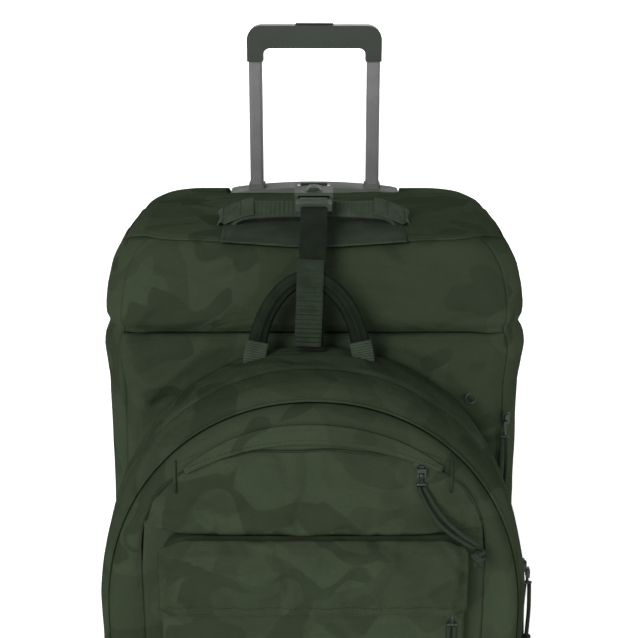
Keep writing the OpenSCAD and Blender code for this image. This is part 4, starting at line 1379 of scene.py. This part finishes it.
def block_outline(half, low, high, r, count):
    """A rectangle with rounded corners, from the middle of its lower edge."""
    q = np.linspace(0, math.pi / 2, 12)
    corners = []
    for cx, cz, turn in ((half - r, low + r, -math.pi / 2), (half - r, high - r, 0),
                         (r - half, high - r, math.pi / 2), (r - half, low + r, math.pi)):
        corners.append(np.stack([cx + r * np.cos(q + turn), cz + r * np.sin(q + turn)], 1))
    line = np.vstack([[[0, low]]] + corners + [[[0, low]]])
    return resample(line, count + 1)[:-1]


def add_lower_pocket():
    """The lower pocket, filled out below its flap, with its piping and its zip's coil."""
    count = 168
    specs = [(122, 205, 472.2, 20, -181.0), (123.5, 203.5, 472.4, 21, -186),
             (123.8, 203, 472, 22, -192), (123.2, 203.6, 470.6, 23, -197.5),
             (121, 206, 468, 24, -201.5), (117, 210, 465, 25, -204)]
    rows = [upright(block_outline(*size, count), y) for *size, y in specs]
    rim = rows[-1]
    centre = np.array([0, -204, 335.0])
    for t in np.linspace(0, 1, 19)[1:]:
        row = rim + (centre - rim) * t
        below = ease(425, 380, row[:, 2])
        row[:, 1] = -204 - (2.0 + 4.8 * below) * math.sin(math.pi / 2 * min(1, t * 2.2))
        rows.append(row)
    pts = np.array(rows)
    bend = 0.9 * noise(pts, 45, 91) + 0.5 * noise(pts, 20, 92)
    grow = ease(2, 7, np.arange(len(rows)))[:, None]
    pts[..., 1] -= bend * grow * ease(124, 96, np.abs(pts[..., 0]))
    behind_cord = np.exp(-((np.abs(pts[..., 0]) - 112) / 6) ** 2)
    height = ease(322, 340, pts[..., 2]) * ease(418, 408, pts[..., 2])
    pts[..., 1] += 2.6 * behind_cord * height * grow
    mesh = grid_mesh(pts, closed=True, away=(0, -150, 335))
    pocket = piece("lower_pocket_fabric", mesh, camo_pocket, "pack_front", ["lower_pocket"])
    held = (np.abs(pts[..., 0]) > 98) & (pts[..., 2] > 325) | (pts[..., 2] > 408)
    held[:2] = True
    puff(pocket, np.flatnonzero(held), 2.2, 22, 0.035, 4.0)
    thicken(pocket, 1.8)

    path = upright(block_outline(123.4, 203.8, 471.6, 21, 220), -182.4)
    mesh = sweep_mesh(path, circle_profile(1.1, 8), (0, 1, 0), closed_path=True)
    piece("lower_pocket_piping", mesh, camo_pocket, "pack_front")
    line = spread(np.linspace(-115, 115, 60), -207.0, 418.0)
    mesh = coil_mesh(line, (0, 0, 1), 1.4)
    piece("lower_zip_coil", mesh, coil_plastic, "pack_front")


def add_lower_flap():
    """The lower pocket's flap, which falls from the pocket's top over its zip."""
    cols, rows = 75, 21
    x = np.linspace(-1, 1, cols)
    v = np.linspace(0, 1, rows)[:, None]
    z = 474.0 - 63.0 * v ** 1.15
    fall = np.interp(v, [0, 0.08, 0.2, 0.45, 0.75, 1.0], [203.6, 207.6, 211.6, 214.0, 212.8, 210.6])
    half = 124.4 - 2.6 * (1 - ease(0, 0.22, v))
    pts_x = x * half
    edge = ease(124.5, 112, np.abs(pts_x))
    y = -(203.4 + (fall + 1.0 * ease(0.8, 1, v) - 203.4) * edge)
    corner = ease(104, 124, np.abs(pts_x)) * (1 - ease(0, 0.3, v))
    z = z - 7.0 * corner
    pinch = np.exp(-(((np.abs(pts_x) - 116) * 0.8 + (z - 452) * 0.6) / 3.2) ** 2)
    pinch = pinch * ease(95, 112, np.abs(pts_x))
    pts = spread(pts_x, y + 2.2 * pinch, z)
    bend = 0.9 * noise(pts, 40, 101) + 0.45 * noise(pts, 15, 102)
    pts[..., 1] -= bend * ease(0, 0.15, v) * ease(1.15, 0.8, v) * edge
    mesh = grid_mesh(pts, away=(0, -150, 440))
    flap = piece("pocket_flap_fabric", mesh, camo_pocket, "flap", ["lower_flap"])
    puff(flap, border(rows, cols), 2.0, 20, 0.03, 3.0)
    soften(flap)
    thicken(flap, 1.7)
    coords = np.array([v.co[:] for v in flap.data.vertices]).reshape(rows, cols, 3) / MM
    mesh = stitches(coords[-3, 2:-2] - [0, 0.35, 0], (0, 0, 1))
    piece("flap_stitches_low", mesh, thread, "flap")
    mesh = sweep_mesh(coords[-1] + [0, 0.6, 0.3], circle_profile(1.15, 8), (0, 1, 0))
    piece("flap_hem", mesh, camo_pocket, "flap")


# ---- Back of the daypack ----


def add_pack_back():
    """The quilted panel on the daypack's back, and the shoulder straps stowed inside."""
    rim = upright(arch_line(163, 187, 220, PACK_LOW + 2), -51.4)
    t = np.linspace(0, 1, 26)[:, None]
    pts = rim + ([0, -51, 350.0] - rim) * t[..., None]
    channel = np.exp(-((np.abs(pts[..., 0]) - 62) / 7) ** 2)
    for z in (300, 440):
        channel = channel + np.exp(-((pts[..., 2] - z) / 6) ** 2)
    pts[..., 1] = -51.0 - 2.4 * np.clip(channel, 0, 1) - 2.2 * (1 - ease(0, 0.08, t))
    mesh = grid_mesh(pts, closed=True, away=(0, -100, 350))
    back = piece("pack_back_padding", mesh, mesh_cloth, "pack", ["pack_back_panel"], 3.5, lining)
    for sign, tag in SIDES:
        path = spline([[sign * 40, -60.3, 520], [sign * 62, -60.3, 470], [sign * 76, -60.3, 400],
                       [sign * 78, -60.3, 330], [sign * 70, -60.3, 262]], 60)
        width = np.interp(np.linspace(0, 1, 60), [0, 0.08, 0.9, 1], [24, 28, 27, 20])
        thick = 3.4 + 0.25 * np.sin(np.arange(60) * 1.1)
        section = strap_profile(2.0, 2.0, False, 7)
        profile = section[None] * np.stack([thick, width], 1)[:, None]
        mesh = sweep_mesh(path, profile, (0, 1, 0))
        strap = piece("shoulder_strap_" + tag, mesh, mesh_cloth, "pack", ["shoulder_straps"])


# ---- Inside the body ----


def add_inside():
    """Two packing straps across the back wall."""
    x = np.linspace(-146, 146, 60)
    y = 158.0 - 1.2 * np.cos(np.linspace(-1.5, 1.5, 60))
    for number, z in enumerate((242.5, 442.5)):
        mesh = sweep_mesh(spread(x, y, z), strap_profile(25, 1.8), (0, 0, 1))
        piece(f"packing_strap_{number}", mesh, webbing, "root", ["packing_straps"])


# ---- Wheels ----

TREAD = 0.8


def tyre_mesh(centre):
    """A tyre with shoulder grooves and a shallow cross-cut tread."""
    half = [(2, 38), (5.8, 38), (6.4, 37), (7.6, 37), (8.2, 38), (11.4, 37.8), (13, 37),
            (14, 35.4), (14, 33), (13.4, 31.2)]
    mesh = lathe_mesh([(-x, r) for x, r in half[::-1]] + half, centre, 144)
    for v in mesh.vertices:
        x, y, z = (v.co[k] / MM - centre[k] for k in range(3))
        r = math.hypot(y, z)
        if r > 36.5 and abs(x) > 8 and math.cos(math.atan2(z, y) * 36 + 0.15 * x) > 0.45:
            v.co.y -= y / r * TREAD * MM
            v.co.z -= z / r * TREAD * MM
    return mesh


def add_wheels():
    for sign, tag in SIDES:
        mesh = tyre_mesh((sign * 170, 172, 38))
        piece("tyre_tread_" + tag, mesh, tyre_rubber, "wheel_" + tag, ["tyre_" + tag])
        finish_node("hub_" + tag, black_plastic, 0.6)
        finish_node("bearings_" + tag, steel, 0.3)


# ---- Carried-over nodes ----


# Node, material, width of the eased edges in mm, and their steps.
FINISHES = (
    ("grip", green_plastic, 1.6, 3), ("release_button", button_plastic, 1.0, 3),
    ("upper_tubes", tube_metal, 0.6, 2), ("mid_tubes", inner_metal, 0.5, 2),
    ("outer_tubes", inner_metal, 0.4, 2), ("mid_collars", bezel_plastic, 0.6, 2),
    ("tube_foot", black_plastic, 0.6, 2), ("trolley_bezel", bezel_plastic, 1.4, 3),
    ("release_rods", steel, 0.2, 2), ("button_spring", steel, 0, 2),
    ("base_tray", black_plastic, 0.6, 2), ("wheel_housings", black_plastic, 1.2, 3),
    ("axles", steel, 0.4, 2), ("front_feet", black_plastic, 1.5, 3), ("screws", steel, 0.2, 2),
    ("stiffeners", board_plastic, 0.3, 2), ("bottom_panel", dark_cloth, 0, 2),
    ("eyelet", slider_metal, 0.3, 2), ("main_slider", slider_metal, 0.35, 2),
    ("pack_slider", slider_metal, 0.35, 2), ("front_slider", slider_metal, 0.35, 2),
    ("lower_slider", slider_metal, 0.35, 2),
)


def finish_nodes():
    """Every other carried-over node's finish, and the spring that the button flattens."""
    for entry in FINISHES:
        finish_node(*entry)
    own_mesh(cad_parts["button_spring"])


# ---- Stage ----


def add_backdrop(name, corners, paint):
    """One flat sheet of the studio's backdrop; its corners are in metres."""
    mesh = bpy.data.meshes.new(name)
    mesh.from_pydata(corners, [], [(0, 1, 2, 3)])
    mesh.materials.append(paint)
    sheet = bpy.data.objects.new(name, mesh)
    scene.collection.objects.link(sheet)


def add_sun(name, place, strength, spread_angle):
    """Sunlight that comes from the side of place, softened over spread_angle degrees."""
    data = bpy.data.lights.new(name, "SUN")
    data.energy = strength
    data.angle = math.radians(spread_angle)
    lamp = bpy.data.objects.new(name, data)
    lamp.rotation_euler = (-Vector(place)).to_track_quat("-Z", "Y").to_euler()
    scene.collection.objects.link(lamp)


def add_stage():
    """A white floor and wall that glow a little, a dim white world and two soft suns."""
    paint = Paint("backdrop_paint", (0.9, 0.9, 0.9), 0.9, Specular_IOR_Level=0.05)
    paint.shader.inputs["Emission Color"].default_value = (1, 1, 1, 1)
    paint.shader.inputs["Emission Strength"].default_value = 0.5
    size = 6.0
    floor = [(-size, -size, 0), (size, -size, 0), (size, size, 0), (-size, size, 0)]
    wall = [(-30, size, -1), (30, size, -1), (30, size, 8), (-30, size, 8)]
    add_backdrop("floor", floor, paint.material)
    add_backdrop("wall", wall, paint.material)
    world = bpy.data.worlds.new("studio")
    scene.world = world
    world.use_nodes = True
    background = world.node_tree.nodes["Background"]
    background.inputs[0].default_value = (1, 1, 1, 1)
    background.inputs[1].default_value = 0.3
    add_sun("key", (-1.0, -2.1, 1.0), 2.5, 26)
    add_sun("fill", (1.6, -1.8, 0.8), 0.4, 50)
    scene.view_settings.view_transform = "Standard"


add_body()
add_top()
add_patch()
add_lid()
add_grab_handle()
add_buckle()
add_tether()
add_haul_loop()
add_pack_shells()
add_pack_base()
add_pack_trim()
add_front_pocket()
add_pocket_face()
add_rain_flap()
add_lower_pocket()
add_lower_flap()
add_pack_back()
add_inside()
add_wheels()
finish_nodes()
add_stage()
